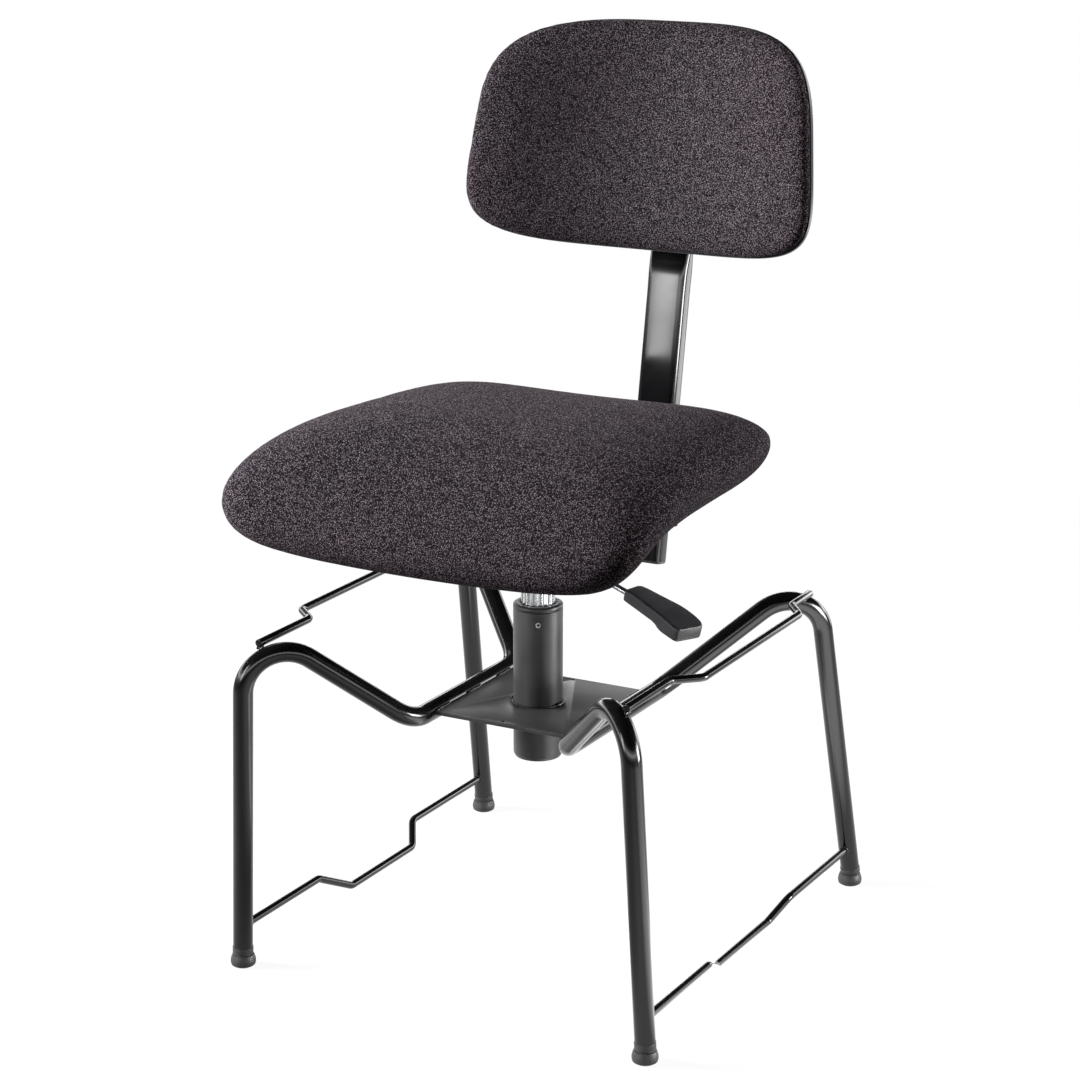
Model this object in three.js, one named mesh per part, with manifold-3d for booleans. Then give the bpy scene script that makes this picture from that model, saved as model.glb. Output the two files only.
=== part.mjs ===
// A choir chair: an upholstered seat and backrest on a gas-spring column, carried by two bent side frames.
// Millimetres, +Z up. The sitter faces -Y. All sizes are laid out from the column's axis at x = 0, y = 0,
// and the finished chair is shifted so that its origin is at the middle of its base, on the floor.
import * as THREE from "three";
import { mergeVertices } from "three/addons/utils/BufferGeometryUtils.js";
import Module from "manifold-3d";

const wasm = await Module();
wasm.setup();

// Gap left between pieces that touch, and the larger one between pieces that slide.
const touch = 0.3;
const slide = 0.4;
const originY = 42;

// Side frames: one bent tube each. The corners are where the straight runs of the centreline would meet.
const tube = {
  radius: 10,
  wall: 1.5,
  frontBend: 41.5,
  rearBend: 43.5,
  plateBend: 40,
  sides: 16,
  boreSides: 8,
  bendSteps: 5,
};
const frontFoot = { x: 227.5, y: -205 };
const rearFoot = { x: 229, y: 288.5 };
const frontTop = { x: 209, y: -213, z: 372 };
const rearTop = { x: 210.5, y: 210, z: 371 };
const plateRun = { x: 85.4, frontY: -103.5, rearY: 110, z: 253 };
const tubeEnd = 21.5;

// Feet: a ball-shaped glide that stands level under a short collar and a plug in the leg.
const foot = { ball: 13, ballHeight: 13, collar: 10.4, plug: 7.4, plugTop: 42 };

// Stacking wires.
const wire = { radius: 4, bend: 7, sides: 10, bendSteps: 3 };
const upperWire = { frontX: 201, midX: 225, rearX: 206, frontZ: 343, rearZ: 345.5, frontY: -200, rearY: 206 };
const upperJogs = { front: [-109, -87.5], rear: [135, 159] };
const lowerWire = { z: 43, inset: 13, drop: 21 };
const lowerJogs = { front: [-66.7, -23.3], rear: [101.7, 123.6] };

// Plate and column.
const plate = { halfWidth: 75.2, frontY: -77, rearY: 81, bottom: 253, thickness: 4 };
const plateHole = { radius: 2, inset: 5.5 };
const column = { outer: 25, inner: 22, bottom: 200, top: 356, edge: 4 };
const floorDisc = { bottom: 210, thickness: 6 };
const bush = { spigot: 21.7, spigotBottom: 300, flange: 25, top: 361.5, chamfer: 1.5 };
const pin = { radius: 3, height: 344, firstAngle: 29, count: 4 };

// Gas spring: the rod stands on the column floor, the cylinder rides in the mast.
const rod = { radius: 5, bottom: 203.5, top: 392, piston: 11.6, pistonHeight: 12 };
const cylinder = { radius: 13.8, bore: 12, bottom: 221, top: 410, end: 8 };
const valve = { radius: 4, bottom: 403, top: 420, head: 5.5, headHeight: 2.5 };
const washer = { radius: 11, thickness: 2 };
const clip = { radius: 9, thickness: 1.4 };

// Mast: fluted aluminium tube that can't turn in its fluted bush.
const mast = { radius: 17.2, bore: 14.2, flutes: 18, fluteDepth: 1.3, bottom: 219, top: 412 };

// Mechanism under the seat. The pan's front and rear walls stand on slopes that meet its flat floor.
const housing = { halfWidth: 48, wall: 3, top: 449.7 };
const pan = { frontY: -66, frontZ: 434, floorFrontY: -34, floorZ: 396, floorRearY: 40, rearY: 92, rearZ: 428 };
const socket = { outer: 22, bottom: 386, top: 411 };
const seatPlate = { halfWidth: 100, frontY: -85, rearY: 135, bottom: 450, thickness: 3.2, corner: 14 };
const seatScrew = { shaft: 2.8, head: 5.5, headHeight: 2.6, x: 78, frontY: -62, rearY: 96, length: 13 };
const arm = { halfWidth: 20, thickness: 6, startY: 95, bendY: 150, dropY: 195, dropZ: 426, endZ: 420, web: 5 };

// Lever: a rod that rocks in the housing's side wall, with its inner end over the valve.
const lever = { height: 424.2, sweep: 14, droop: 14, rodRadius: 3, pivot: 49.4, inner: -7, outer: 164 };
const paddle = { root: 124, length: 82, rootHalfWidth: 10, tipHalfWidth: 16, bore: 3.3 };

// Seat cushion and the shell under it, described over a unit outline (-1..1 each way).
const seat = {
  frontHalfWidth: 230.3,
  rearHalfWidth: 198.3,
  centreY: -35.8,
  halfDepth: 212.8,
  frontSquareness: 10.9,
  rearSquareness: 5.9,
  height: 518.4,
  sideLift: 7.2,
  waterfall: 43.5,
  waterfallPower: 4,
  cornerLift: 9.3,
  rearFall: 8.5,
  crown: 46.1,
  crownPower: 2.73,
  depth: 58.9,
  depthPower: 4,
  frontFullness: 0.067,
  underReach: 0.82,
  shellReach: 0.72,
  shellThickness: 7,
  landHeight: 16,
  sides: 48,
};

// How far the points of the seat's and backrest's rings are drawn towards the four corners, in radians.
const cornerPull = 0.11;

// Back: the post leans back, and everything on it is laid out along it.
const lean = THREE.MathUtils.degToRad(10);
const backOrigin = { y: 267.5, z: 514 };
const post = { width: 44.2, depth: 22.6, corner: 7, wall: 1.6, bottom: -171, boreTop: 110 };
const neck = { flareStart: 112, flatStart: 140, steps: 7 };
const tongue = { width: 49, depth: 10, corner: 4.5, start: 205, top: 306, endCut: 6 };
const sleeve = { width: 58, depth: 36.5, corner: 7, bottom: -133, top: -64 };
const backrest = {
  y: -42.5,
  z: 274.4,
  topHalfWidth: 180.5,
  bottomHalfWidth: 206.5,
  halfHeight: 118,
  topSquareness: 3.5,
  bottomSquareness: 5.2,
  wrap: 61,
  shellReach: 0.99,
  shellRim: 5,
  crest: 4.7,
  shellBelly: 12,
  cushionInset: 0.978,
  cushionRim: 5,
  cushionCrown: 18,
  sides: 48,
};
const boss = { halfWidth: 31, back: 9.4, bottom: 210, top: 322, front: -31 };
const backScrew = { shaft: 3, head: 5.5, headHeight: 3.2, low: 248, high: 288, length: 21 };

// Clamp behind the sleeve.
const clamp = { height: -98, screw: 4, knobRadius: 21, knobStart: 27, knobDepth: 16, lobes: 6 };

const blackTube = new THREE.MeshStandardMaterial({ color: 0x0d0d0e, roughness: 0.28, metalness: 0.5 });
const blackSteel = new THREE.MeshStandardMaterial({ color: 0x161617, roughness: 0.45, metalness: 0.4 });
const zincSteel = new THREE.MeshStandardMaterial({ color: 0xa9abad, roughness: 0.35, metalness: 0.9 });
const aluminium = new THREE.MeshStandardMaterial({ color: 0xd6d8da, roughness: 0.25, metalness: 0.95 });
const blackPlastic = new THREE.MeshStandardMaterial({ color: 0x1b1b1c, roughness: 0.55, metalness: 0 });
const greyPlastic = new THREE.MeshStandardMaterial({ color: 0x3a3a3b, roughness: 0.6, metalness: 0 });
const fabric = new THREE.MeshStandardMaterial({ color: 0x35303a, roughness: 0.95, metalness: 0 });
const board = new THREE.MeshStandardMaterial({ color: 0x1d1c1c, roughness: 0.7, metalness: 0 });

function piece(name, geometry, material) {
  const mesh = new THREE.Mesh(geometry, material);
  mesh.name = name;
  return mesh;
}

// Booleans: a closed geometry as a solid, and a solid back as a geometry.
function toSolid(geometry) {
  const bare = new THREE.BufferGeometry();
  bare.setAttribute("position", geometry.getAttribute("position"));
  if (geometry.index) bare.setIndex(geometry.index);
  const merged = mergeVertices(bare, 1e-4);
  const vertProperties = new Float32Array(merged.getAttribute("position").array);
  const triVerts = new Uint32Array(merged.index.array);
  return new wasm.Manifold(new wasm.Mesh({ numProp: 3, vertProperties, triVerts }));
}

function toGeometry(solid) {
  const mesh = solid.getMesh();
  const geometry = new THREE.BufferGeometry();
  geometry.setAttribute("position", new THREE.BufferAttribute(new Float32Array(mesh.vertProperties), 3));
  geometry.setIndex(new THREE.BufferAttribute(new Uint32Array(mesh.triVerts), 1));
  const flat = geometry.toNonIndexed();
  flat.computeVertexNormals();
  return flat;
}

function cut(geometry, ...tools) {
  return toGeometry(tools.reduce((solid, tool) => solid.subtract(toSolid(tool)), toSolid(geometry)));
}

function join(...geometries) {
  const [first, ...rest] = geometries.map(toSolid);
  return toGeometry(rest.reduce((solid, other) => solid.add(other), first));
}

function overlapOf(a, b) {
  return toGeometry(toSolid(a).intersect(toSolid(b)));
}

// Outlines.
function circle(radius, sides, clockwise = false) {
  return Array.from({ length: sides }, (_, i) => {
    const angle = (2 * Math.PI * (clockwise ? -i : i)) / sides;
    return new THREE.Vector2(radius * Math.cos(angle), radius * Math.sin(angle));
  });
}

function ringShape(outer, inner, outerSides, innerSides = outerSides) {
  const shape = new THREE.Shape(circle(outer, outerSides));
  shape.holes.push(new THREE.Path(circle(inner, innerSides, true)));
  return shape;
}

function roundedOutline(width, depth, corner, steps = 4) {
  const points = [];
  for (let quarter = 0; quarter < 4; quarter++) {
    const sx = quarter === 0 || quarter === 3 ? 1 : -1;
    const sy = quarter < 2 ? 1 : -1;
    for (let k = 0; k <= steps; k++) {
      const angle = (Math.PI / 2) * (quarter + k / steps);
      const x = sx * (width / 2 - corner) + corner * Math.cos(angle);
      points.push(new THREE.Vector2(x, sy * (depth / 2 - corner) + corner * Math.sin(angle)));
    }
  }
  return points;
}

// A polyline of sheet metal, given thickness: mitred at its bends.
function strip(points, thickness) {
  const side = (distance) =>
    points.map((point, i) => {
      const before = points[Math.max(i - 1, 0)];
      const after = points[Math.min(i + 1, points.length - 1)];
      const into = point.clone().sub(before);
      const out = after.clone().sub(point);
      const a = into.lengthSq() ? into.normalize() : out.clone().normalize();
      const b = out.lengthSq() ? out.normalize() : a;
      const mitre = new THREE.Vector2(-a.y - b.y, a.x + b.x).normalize();
      return point.clone().addScaledVector(mitre, distance / (mitre.x * -a.y + mitre.y * a.x));
    });
  return new THREE.Shape([...side(-thickness / 2), ...side(thickness / 2).reverse()]);
}

// Bodies made from outlines.
function prism(shape, height, base = 0) {
  return new THREE.ExtrudeGeometry(shape, { depth: height, bevelEnabled: false }).translate(0, 0, base);
}

// An outline in the YZ plane, extruded along X and centred on x = 0.
function sidewaysPrism(shape, width) {
  const turn = new THREE.Matrix4().makeBasis(
    new THREE.Vector3(0, 1, 0),
    new THREE.Vector3(0, 0, 1),
    new THREE.Vector3(1, 0, 0),
  );
  return prism(shape, width, -width / 2).applyMatrix4(turn);
}

function rod3(radius, length, sides = 20) {
  return prism(new THREE.Shape(circle(radius, sides)), length);
}

// A body turned about Z from [radius, height] pairs that start and end on the axis or close on themselves.
function turned(profile, sides = 24) {
  const points = profile.map(([radius, height]) => new THREE.Vector2(radius, height));
  return new THREE.LatheGeometry(points, sides).rotateX(Math.PI / 2);
}

function turnedRing(outer, inner, bottom, top, sides = 24) {
  return turned([[inner, bottom], [outer, bottom], [outer, top], [inner, top], [inner, bottom]], sides);
}

// A closed skin over rings of equal length that run from a first pole to a last pole,
// each ring anticlockwise as seen from outside the first pole. Two skins that lie on each other
// from opposite sides need opposite diagonals, so that their facets match.
function skin(firstPole, rings, lastPole, otherDiagonal = false) {
  const count = rings[0].length;
  const vertices = [firstPole, ...rings.flat(), lastPole];
  const at = (ring, i) => 1 + ring * count + (i % count);
  const last = vertices.length - 1;
  const faces = [];
  for (let i = 0; i < count; i++) {
    faces.push(0, at(0, i), at(0, i + 1));
    for (let k = 0; k + 1 < rings.length; k++) {
      const corners = [at(k, i), at(k + 1, i), at(k + 1, i + 1), at(k, i + 1)];
      if (otherDiagonal) corners.push(corners.shift());
      const [a, b, c, d] = corners;
      faces.push(a, b, c, a, c, d);
    }
    faces.push(last, at(rings.length - 1, i + 1), at(rings.length - 1, i));
  }
  const geometry = new THREE.BufferGeometry();
  const positions = vertices.flatMap((v) => v.toArray());
  geometry.setAttribute("position", new THREE.Float32BufferAttribute(positions, 3));
  geometry.setIndex(faces);
  geometry.computeVertexNormals();
  return geometry;
}

// A centreline of straight runs joined by round bends. Its stations lie only at the ends and along the bends.
class BentLine extends THREE.Curve {
  constructor(corners, radii, bendSteps) {
    super();
    this.points = [];
    this.tangents = [];
    const add = (point, tangent) => {
      this.points.push(point);
      this.tangents.push(tangent);
    };
    const direction = (from, to) => to.clone().sub(from).normalize();
    add(corners[0], direction(corners[0], corners[1]));
    for (let i = 1; i + 1 < corners.length; i++) {
      const into = direction(corners[i - 1], corners[i]);
      const out = direction(corners[i], corners[i + 1]);
      const turn = into.angleTo(out);
      const radius = radii[i - 1];
      const inward = out.clone().addScaledVector(into, -Math.cos(turn)).normalize();
      const centre = corners[i]
        .clone()
        .addScaledVector(into, -radius * Math.tan(turn / 2))
        .addScaledVector(inward, radius);
      for (let k = 0; k <= bendSteps; k++) {
        const angle = (turn * k) / bendSteps;
        const spoke = inward.clone().multiplyScalar(-Math.cos(angle)).addScaledVector(into, Math.sin(angle));
        const tangent = into.clone().multiplyScalar(Math.cos(angle)).addScaledVector(inward, Math.sin(angle));
        add(centre.clone().addScaledVector(spoke, radius), tangent);
      }
    }
    add(corners.at(-1), direction(corners.at(-2), corners.at(-1)));
    this.steps = this.points.length - 1;
  }
  getPoint(t) {
    return this.points[Math.round(t * this.steps)].clone();
  }
  getPointAt(u) {
    return this.getPoint(u);
  }
  getTangent(t) {
    return this.tangents[Math.round(t * this.steps)].clone();
  }
  getTangentAt(u) {
    return this.getTangent(u);
  }
}

function bentTube(shape, corners, bends, bendSteps) {
  const radii = Array.isArray(bends) ? bends : corners.slice(2).map(() => bends);
  const path = new BentLine(corners, radii, bendSteps);
  return new THREE.ExtrudeGeometry(shape, { steps: path.steps, extrudePath: path });
}

const v3 = (x, y, z) => new THREE.Vector3(x, y, z);

// The point of a straight leg at a height above the floor.
function legPoint(side, feet, top, height) {
  return v3(side * feet.x, feet.y, 0).lerp(v3(side * top.x, top.y, top.z), height / top.z);
}

function sideFrame(side) {
  const corners = [
    legPoint(side, frontFoot, frontTop, tubeEnd),
    v3(side * frontTop.x, frontTop.y, frontTop.z),
    v3(side * plateRun.x, plateRun.frontY, plateRun.z),
    v3(side * plateRun.x, plateRun.rearY, plateRun.z),
    v3(side * rearTop.x, rearTop.y, rearTop.z),
    legPoint(side, rearFoot, rearTop, tubeEnd),
  ];
  const section = ringShape(tube.radius, tube.radius - tube.wall, tube.sides, tube.boreSides);
  const bends = [tube.frontBend, tube.plateBend, tube.plateBend, tube.rearBend];
  return bentTube(section, corners, bends, tube.bendSteps);
}

// The glide stands level on the floor below the leg's end, and its collar and plug follow the leg.
function footGlide(side, feet, top) {
  const ball = turned([
    [0, 0],
    [10, 0],
    [12, 2],
    [foot.ball, 6],
    [11.8, 10],
    [9.6, foot.ballHeight],
    [9.6, foot.ballHeight + 4],
    [0, foot.ballHeight + 4],
  ], 16);
  const collarBottom = foot.ballHeight + 1.5;
  const collar = turned([
    [0, collarBottom],
    [foot.collar, collarBottom],
    [foot.collar, tubeEnd - touch],
    [foot.plug, tubeEnd - touch],
    [foot.plug, foot.plugTop - 2],
    [foot.plug - 2, foot.plugTop],
    [0, foot.plugTop],
  ], 16);
  const ground = v3(side * feet.x, feet.y, 0);
  const along = v3(side * top.x, top.y, top.z).sub(ground).normalize();
  const turn = new THREE.Matrix4().makeRotationFromQuaternion(
    new THREE.Quaternion().setFromUnitVectors(v3(0, 0, 1), along),
  );
  const stand = legPoint(side, feet, top, foot.ballHeight + 4);
  const leaning = collar.applyMatrix4(turn).translate(ground.x, ground.y, 0);
  return join(ball.translate(stand.x, stand.y, 0), leaning);
}

function upperStackingWire(side) {
  const { frontX, midX, rearX, frontZ, rearZ, frontY, rearY } = upperWire;
  const at = (x, y) => v3(side * x, y, THREE.MathUtils.mapLinear(y, frontY, rearY, frontZ, rearZ));
  const corners = [
    at(frontX, frontY),
    at(frontX, upperJogs.front[0]),
    at(midX, upperJogs.front[1]),
    at(midX, upperJogs.rear[0]),
    at(rearX, upperJogs.rear[1]),
    at(rearX, rearY),
  ];
  return bentTube(new THREE.Shape(circle(wire.radius, wire.sides)), corners, wire.bend, wire.bendSteps);
}

function lowerStackingWire(side) {
  const front = legPoint(side, frontFoot, frontTop, lowerWire.z);
  const rear = legPoint(side, rearFoot, rearTop, lowerWire.z);
  const outerX = (y) => THREE.MathUtils.mapLinear(y, front.y, rear.y, front.x, rear.x);
  const high = (y) => v3(outerX(y), y, lowerWire.z);
  const low = (y) => v3(outerX(y) - side * lowerWire.inset, y, lowerWire.z - lowerWire.drop);
  const corners = [
    high(front.y + tube.radius + 2 * touch),
    high(lowerJogs.front[0]),
    low(lowerJogs.front[1]),
    low(lowerJogs.rear[0]),
    high(lowerJogs.rear[1]),
    high(rear.y - tube.radius - 4 * touch),
  ];
  return bentTube(new THREE.Shape(circle(wire.radius, wire.sides)), corners, wire.bend, wire.bendSteps);
}

function crossPlate() {
  const { halfWidth, frontY, rearY, bottom, thickness } = plate;
  const outline = new THREE.Shape([
    new THREE.Vector2(-halfWidth, frontY),
    new THREE.Vector2(halfWidth, frontY),
    new THREE.Vector2(halfWidth, rearY),
    new THREE.Vector2(-halfWidth, rearY),
  ]);
  outline.holes.push(new THREE.Path(circle(column.outer + touch, 32, true)));
  for (const y of [frontY + plateHole.inset, rearY - plateHole.inset]) {
    outline.holes.push(new THREE.Path(circle(plateHole.radius, 10, true).map((p) => p.setY(p.y + y))));
  }
  return prism(outline, thickness, bottom);
}

// Cylinders through the column wall at the pins.
function acrossColumn(radius, start, length, angle) {
  const drill = rod3(radius, length, 12).rotateX(Math.PI / 2).translate(0, -start, 0);
  return drill.rotateZ(THREE.MathUtils.degToRad(angle)).translate(0, 0, pin.height);
}

const pinAngles = Array.from({ length: pin.count }, (_, i) => pin.firstAngle + (360 / pin.count) * i);

function columnTube() {
  const { outer, inner, bottom, top, edge } = column;
  const profile = [[inner, bottom]];
  for (let k = 0; k <= 3; k++) {
    const angle = (Math.PI / 2) * (k / 3);
    profile.push([outer - 3 + 3 * Math.sin(angle), bottom + edge - edge * Math.cos(angle)]);
  }
  profile.push([outer, top], [inner, top], [inner, bottom]);
  const holes = pinAngles.map((angle) => acrossColumn(pin.radius + touch, inner - 2, 6, angle));
  return cut(turned(profile, 32), ...holes);
}

function columnFloor() {
  const top = floorDisc.bottom + floorDisc.thickness;
  return turnedRing(column.inner - touch, rod.radius + touch, floorDisc.bottom, top);
}

// The fluted outline shared by the mast and its bush.
function flutedOutline(grow, clockwise = false) {
  const points = [];
  for (let flute = 0; flute < mast.flutes; flute++) {
    for (const [share, depth] of [[0, 0], [0.5, 0], [0.62, 1], [0.88, 1]]) {
      const angle = (2 * Math.PI * (flute + share)) / mast.flutes;
      const radius = mast.radius + grow - depth * mast.fluteDepth;
      points.push(new THREE.Vector2(radius * Math.cos(angle), radius * Math.sin(angle)));
    }
  }
  return clockwise ? points.reverse() : points;
}

function flutedMast() {
  const outline = new THREE.Shape(flutedOutline(0));
  outline.holes.push(new THREE.Path(circle(mast.bore, 24, true)));
  return prism(outline, mast.top - mast.bottom, mast.bottom);
}

function guideBush() {
  const { spigot, spigotBottom, flange, top, chamfer } = bush;
  const body = turned([
    [0, spigotBottom],
    [spigot, spigotBottom],
    [spigot, column.top + touch],
    [flange, column.top + touch],
    [flange, top - chamfer],
    [flange - chamfer, top],
    [0, top],
  ], 30);
  const bore = prism(new THREE.Shape(flutedOutline(slide)), top - spigotBottom + 2, spigotBottom - 1);
  const pinHoles = pinAngles.map((angle) => acrossColumn(pin.radius + touch, spigot - 2.6, 4, angle));
  return cut(body, bore, ...pinHoles);
}

function bushPin(angle) {
  const shaft = acrossColumn(pin.radius, bush.spigot - 2.2, column.outer - bush.spigot + 2.7, angle);
  const hollow = acrossColumn(pin.radius / 2, column.outer - 1.5, 4, angle);
  return cut(shaft, hollow);
}

function pistonRod() {
  const { radius, bottom, top, piston, pistonHeight } = rod;
  const groove = bottom + 2;
  return turned([
    [0, bottom],
    [radius - 0.6, bottom],
    [radius, bottom + 0.8],
    [radius, groove],
    [radius - 1, groove],
    [radius - 1, groove + clip.thickness + 2 * touch],
    [radius, groove + clip.thickness + 2 * touch],
    [radius, top - pistonHeight],
    [piston, top - pistonHeight],
    [piston, top],
    [0, top],
  ], 16);
}

function rodWasher() {
  const top = floorDisc.bottom - touch;
  return turnedRing(washer.radius, rod.radius + touch, top - washer.thickness, top, 20);
}

// An open spring clip that snaps into the rod's groove.
function rodClip() {
  const opening = THREE.MathUtils.degToRad(50);
  const arc = (radius, from, to) =>
    Array.from({ length: 15 }, (_, i) => {
      const angle = from + ((to - from) * i) / 14;
      return new THREE.Vector2(radius * Math.cos(angle), radius * Math.sin(angle));
    });
  const start = opening / 2;
  const end = 2 * Math.PI - opening / 2;
  const inner = rod.radius - 1 + touch;
  const outline = new THREE.Shape([...arc(clip.radius, start, end), ...arc(inner, end, start)]);
  return prism(outline, clip.thickness, rod.bottom + 2 + touch);
}

function gasCylinder() {
  const { radius, bore, bottom, top, end } = cylinder;
  return turned([
    [rod.radius + slide, bottom],
    [radius - 2, bottom],
    [radius, bottom + 2],
    [radius, top - 3],
    [radius - 3, top],
    [valve.radius + slide, top],
    [valve.radius + slide, top - end],
    [bore, top - end],
    [bore, bottom + end],
    [rod.radius + slide, bottom + end],
    [rod.radius + slide, bottom],
  ], 20);
}

function valveButton() {
  const { radius, bottom, top, head, headHeight } = valve;
  return turned([
    [0, bottom],
    [radius, bottom],
    [radius, top - headHeight],
    [head, top - headHeight],
    [head, top - 0.8],
    [head - 0.8, top],
    [0, top],
  ], 16);
}

// Mechanism housing: a pressed pan, closed below and open to the seat plate above.
function housingOutline(inset, top) {
  const { wall } = housing;
  const slope = inset * 0.45;
  const floor = pan.floorZ + (inset ? wall : 0);
  return new THREE.Shape([
    new THREE.Vector2(pan.frontY + inset, top),
    new THREE.Vector2(pan.frontY + inset, pan.frontZ + slope),
    new THREE.Vector2(pan.floorFrontY + slope, floor),
    new THREE.Vector2(pan.floorRearY - slope, floor),
    new THREE.Vector2(pan.rearY - inset, pan.rearZ + slope),
    new THREE.Vector2(pan.rearY - inset, top),
  ]);
}

// The hole in the housing's side wall that the lever bush sits in.
function leverHole(radius) {
  const wallPoint = leverPoint(lever.pivot);
  return rod3(radius, 20, 20)
    .rotateY(Math.PI / 2)
    .translate(housing.halfWidth - 10, wallPoint.y, wallPoint.z);
}

function mechanismHousing() {
  const { halfWidth, wall, top } = housing;
  const outer = sidewaysPrism(housingOutline(0, top), 2 * halfWidth);
  const inner = sidewaysPrism(housingOutline(wall, top + 5), 2 * (halfWidth - wall));
  const pressing = cut(outer, inner);
  const collar = rod3(socket.outer, socket.top - socket.bottom, 32).translate(0, 0, socket.bottom);
  const bore = prism(new THREE.Shape(flutedOutline(touch)), 60, socket.bottom - 5);
  return cut(join(pressing, collar), bore, leverHole(6.3));
}

function roundedRectangle(halfWidth, lowY, highY, corner) {
  const middle = (lowY + highY) / 2;
  const outline = roundedOutline(2 * halfWidth, highY - lowY, corner).map((p) => p.setY(p.y + middle));
  return new THREE.Shape(outline);
}

const seatScrewPlaces = [-1, 1].flatMap((sx) =>
  [seatScrew.frontY, seatScrew.rearY].map((y) => ({ x: sx * seatScrew.x, y })),
);

function seatPlateSheet() {
  const { halfWidth, frontY, rearY, corner, thickness, bottom } = seatPlate;
  const outline = roundedRectangle(halfWidth, frontY, rearY, corner);
  for (const { x, y } of seatScrewPlaces) {
    const hole = circle(seatScrew.shaft + touch, 14, true).map((p) => p.set(p.x + x, p.y + y));
    outline.holes.push(new THREE.Path(hole));
  }
  return prism(outline, thickness, bottom);
}

function panHead(shaft, head, headHeight, length) {
  return turned([
    [0, 0],
    [head - 1, 0],
    [head, 1],
    [head, headHeight],
    [shaft, headHeight],
    [shaft, length],
    [0, length],
  ], 14);
}

function seatScrewAt({ x, y }) {
  const { shaft, head, headHeight, length } = seatScrew;
  return panHead(shaft, head, headHeight, length).translate(x, y, seatPlate.bottom - touch - headHeight);
}

// The rear arm: a bent flat bar under the seat plate that reaches back to the post sleeve.
function rearArm() {
  const sleeveFront = backPoint(0, -sleeve.depth / 2 - touch - 1, clamp.height);
  const bend = new THREE.Vector2(arm.bendY, seatPlate.bottom - touch - arm.thickness / 2);
  const line = [
    new THREE.Vector2(arm.startY, bend.y),
    bend,
    new THREE.Vector2(arm.dropY, arm.dropZ),
    new THREE.Vector2(sleeveFront.y - 1.5, arm.endZ),
  ];
  const bar = sidewaysPrism(strip(line, arm.thickness), 2 * arm.halfWidth);
  const webStart = arm.startY + 23;
  const web = new THREE.Shape([
    new THREE.Vector2(webStart, bend.y - 1),
    new THREE.Vector2(arm.dropY - 3, arm.dropZ - 2.5),
    new THREE.Vector2(sleeveFront.y - 3, arm.endZ - 2.5),
    new THREE.Vector2(sleeveFront.y - 6, arm.endZ - 24),
    new THREE.Vector2(arm.dropY - 5, arm.endZ - 20),
    new THREE.Vector2(webStart, bend.y - 8.7),
  ]);
  return join(bar, sidewaysPrism(web, arm.web));
}

// Seat: the outline is a rounded rectangle with a straighter front, over a sagging middle surface.
function superellipse(angle, frontPower, rearPower) {
  const cos = Math.cos(angle);
  const sin = Math.sin(angle);
  const power = sin < 0 ? frontPower : rearPower;
  const reach = (Math.abs(cos) ** power + Math.abs(sin) ** power) ** (-1 / power);
  return { x: reach * cos, y: reach * sin };
}

function seatPoint(reach, angle, rise) {
  const edge = superellipse(angle, seat.frontSquareness, seat.rearSquareness);
  const nx = reach * edge.x;
  const ny = reach * edge.y;
  const front = Math.max(0, (0.2 - ny) / 1.2);
  const halfWidth = THREE.MathUtils.mapLinear(ny, -1, 1, seat.frontHalfWidth, seat.rearHalfWidth);
  const middle =
    seat.height +
    seat.sideLift * nx * nx -
    seat.rearFall * ny * ny -
    seat.waterfall * front ** seat.waterfallPower +
    seat.cornerLift * front ** 2 * Math.abs(nx) ** 3;
  const fullness = 1 - seat.frontFullness * ny;
  return v3(nx * halfWidth, seat.centreY + ny * seat.halfDepth, middle + rise * fullness);
}

const rise = (reach, height, power) => height * Math.sqrt(Math.max(0, 1 - reach ** power));
const seatUnderside = -rise(seat.underReach, seat.depth, seat.depthPower);

// One ring of points round an outline, closer together at its four corners.
function ringAround(sides, pointAt) {
  return Array.from({ length: sides }, (_, i) => {
    const even = (2 * Math.PI * (i + 0.5)) / sides;
    return pointAt(even + cornerPull * Math.sin(4 * even));
  });
}

const seatRing = (reach, height) => ringAround(seat.sides, (angle) => seatPoint(reach, angle, height));
const underRings = [0.3, 0.58, seat.shellReach];

function seatCushion() {
  const crownAt = (reach) => rise(reach, seat.crown, seat.crownPower);
  const topReaches = [0.18, 0.36, 0.52, 0.66, 0.78, 0.87, 0.935, 0.975, 0.995];
  const top = topReaches.map((reach) => seatRing(reach, crownAt(reach)));
  const rim = seatRing(1, 0);
  const sideReaches = [0.995, 0.97, 0.92];
  const side = sideReaches.map((reach) => seatRing(reach, -rise(reach, seat.depth, seat.depthPower)));
  const under = [...underRings, seat.underReach].toReversed().map((reach) => seatRing(reach, seatUnderside));
  return skin(seatPoint(0, 0, seat.crown), [...top, rim, ...side, ...under], seatPoint(0, 0, seatUnderside));
}

function seatShell() {
  const topHeight = seatUnderside - 2 * touch;
  const bottomHeight = topHeight - seat.shellThickness;
  const top = underRings.map((reach) => seatRing(reach, topHeight));
  const bottom = underRings.toReversed().map((reach) => seatRing(reach, bottomHeight));
  const panel = skin(seatPoint(0, 0, topHeight), [...top, ...bottom], seatPoint(0, 0, bottomHeight), true);
  const { halfWidth, frontY, rearY, corner } = seatPlate;
  const landBottom = seatPlate.bottom + seatPlate.thickness + touch;
  const land = prism(roundedRectangle(halfWidth, frontY, rearY, corner), seat.landHeight, landBottom);
  const holeDepth = seatScrew.length + 1;
  const holeBottom = seatPlate.bottom - touch - seatScrew.headHeight;
  const holes = seatScrewPlaces.map(({ x, y }) =>
    rod3(seatScrew.shaft + touch, holeDepth, 14).translate(x, y, holeBottom),
  );
  return cut(join(panel, land), ...holes);
}

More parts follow.
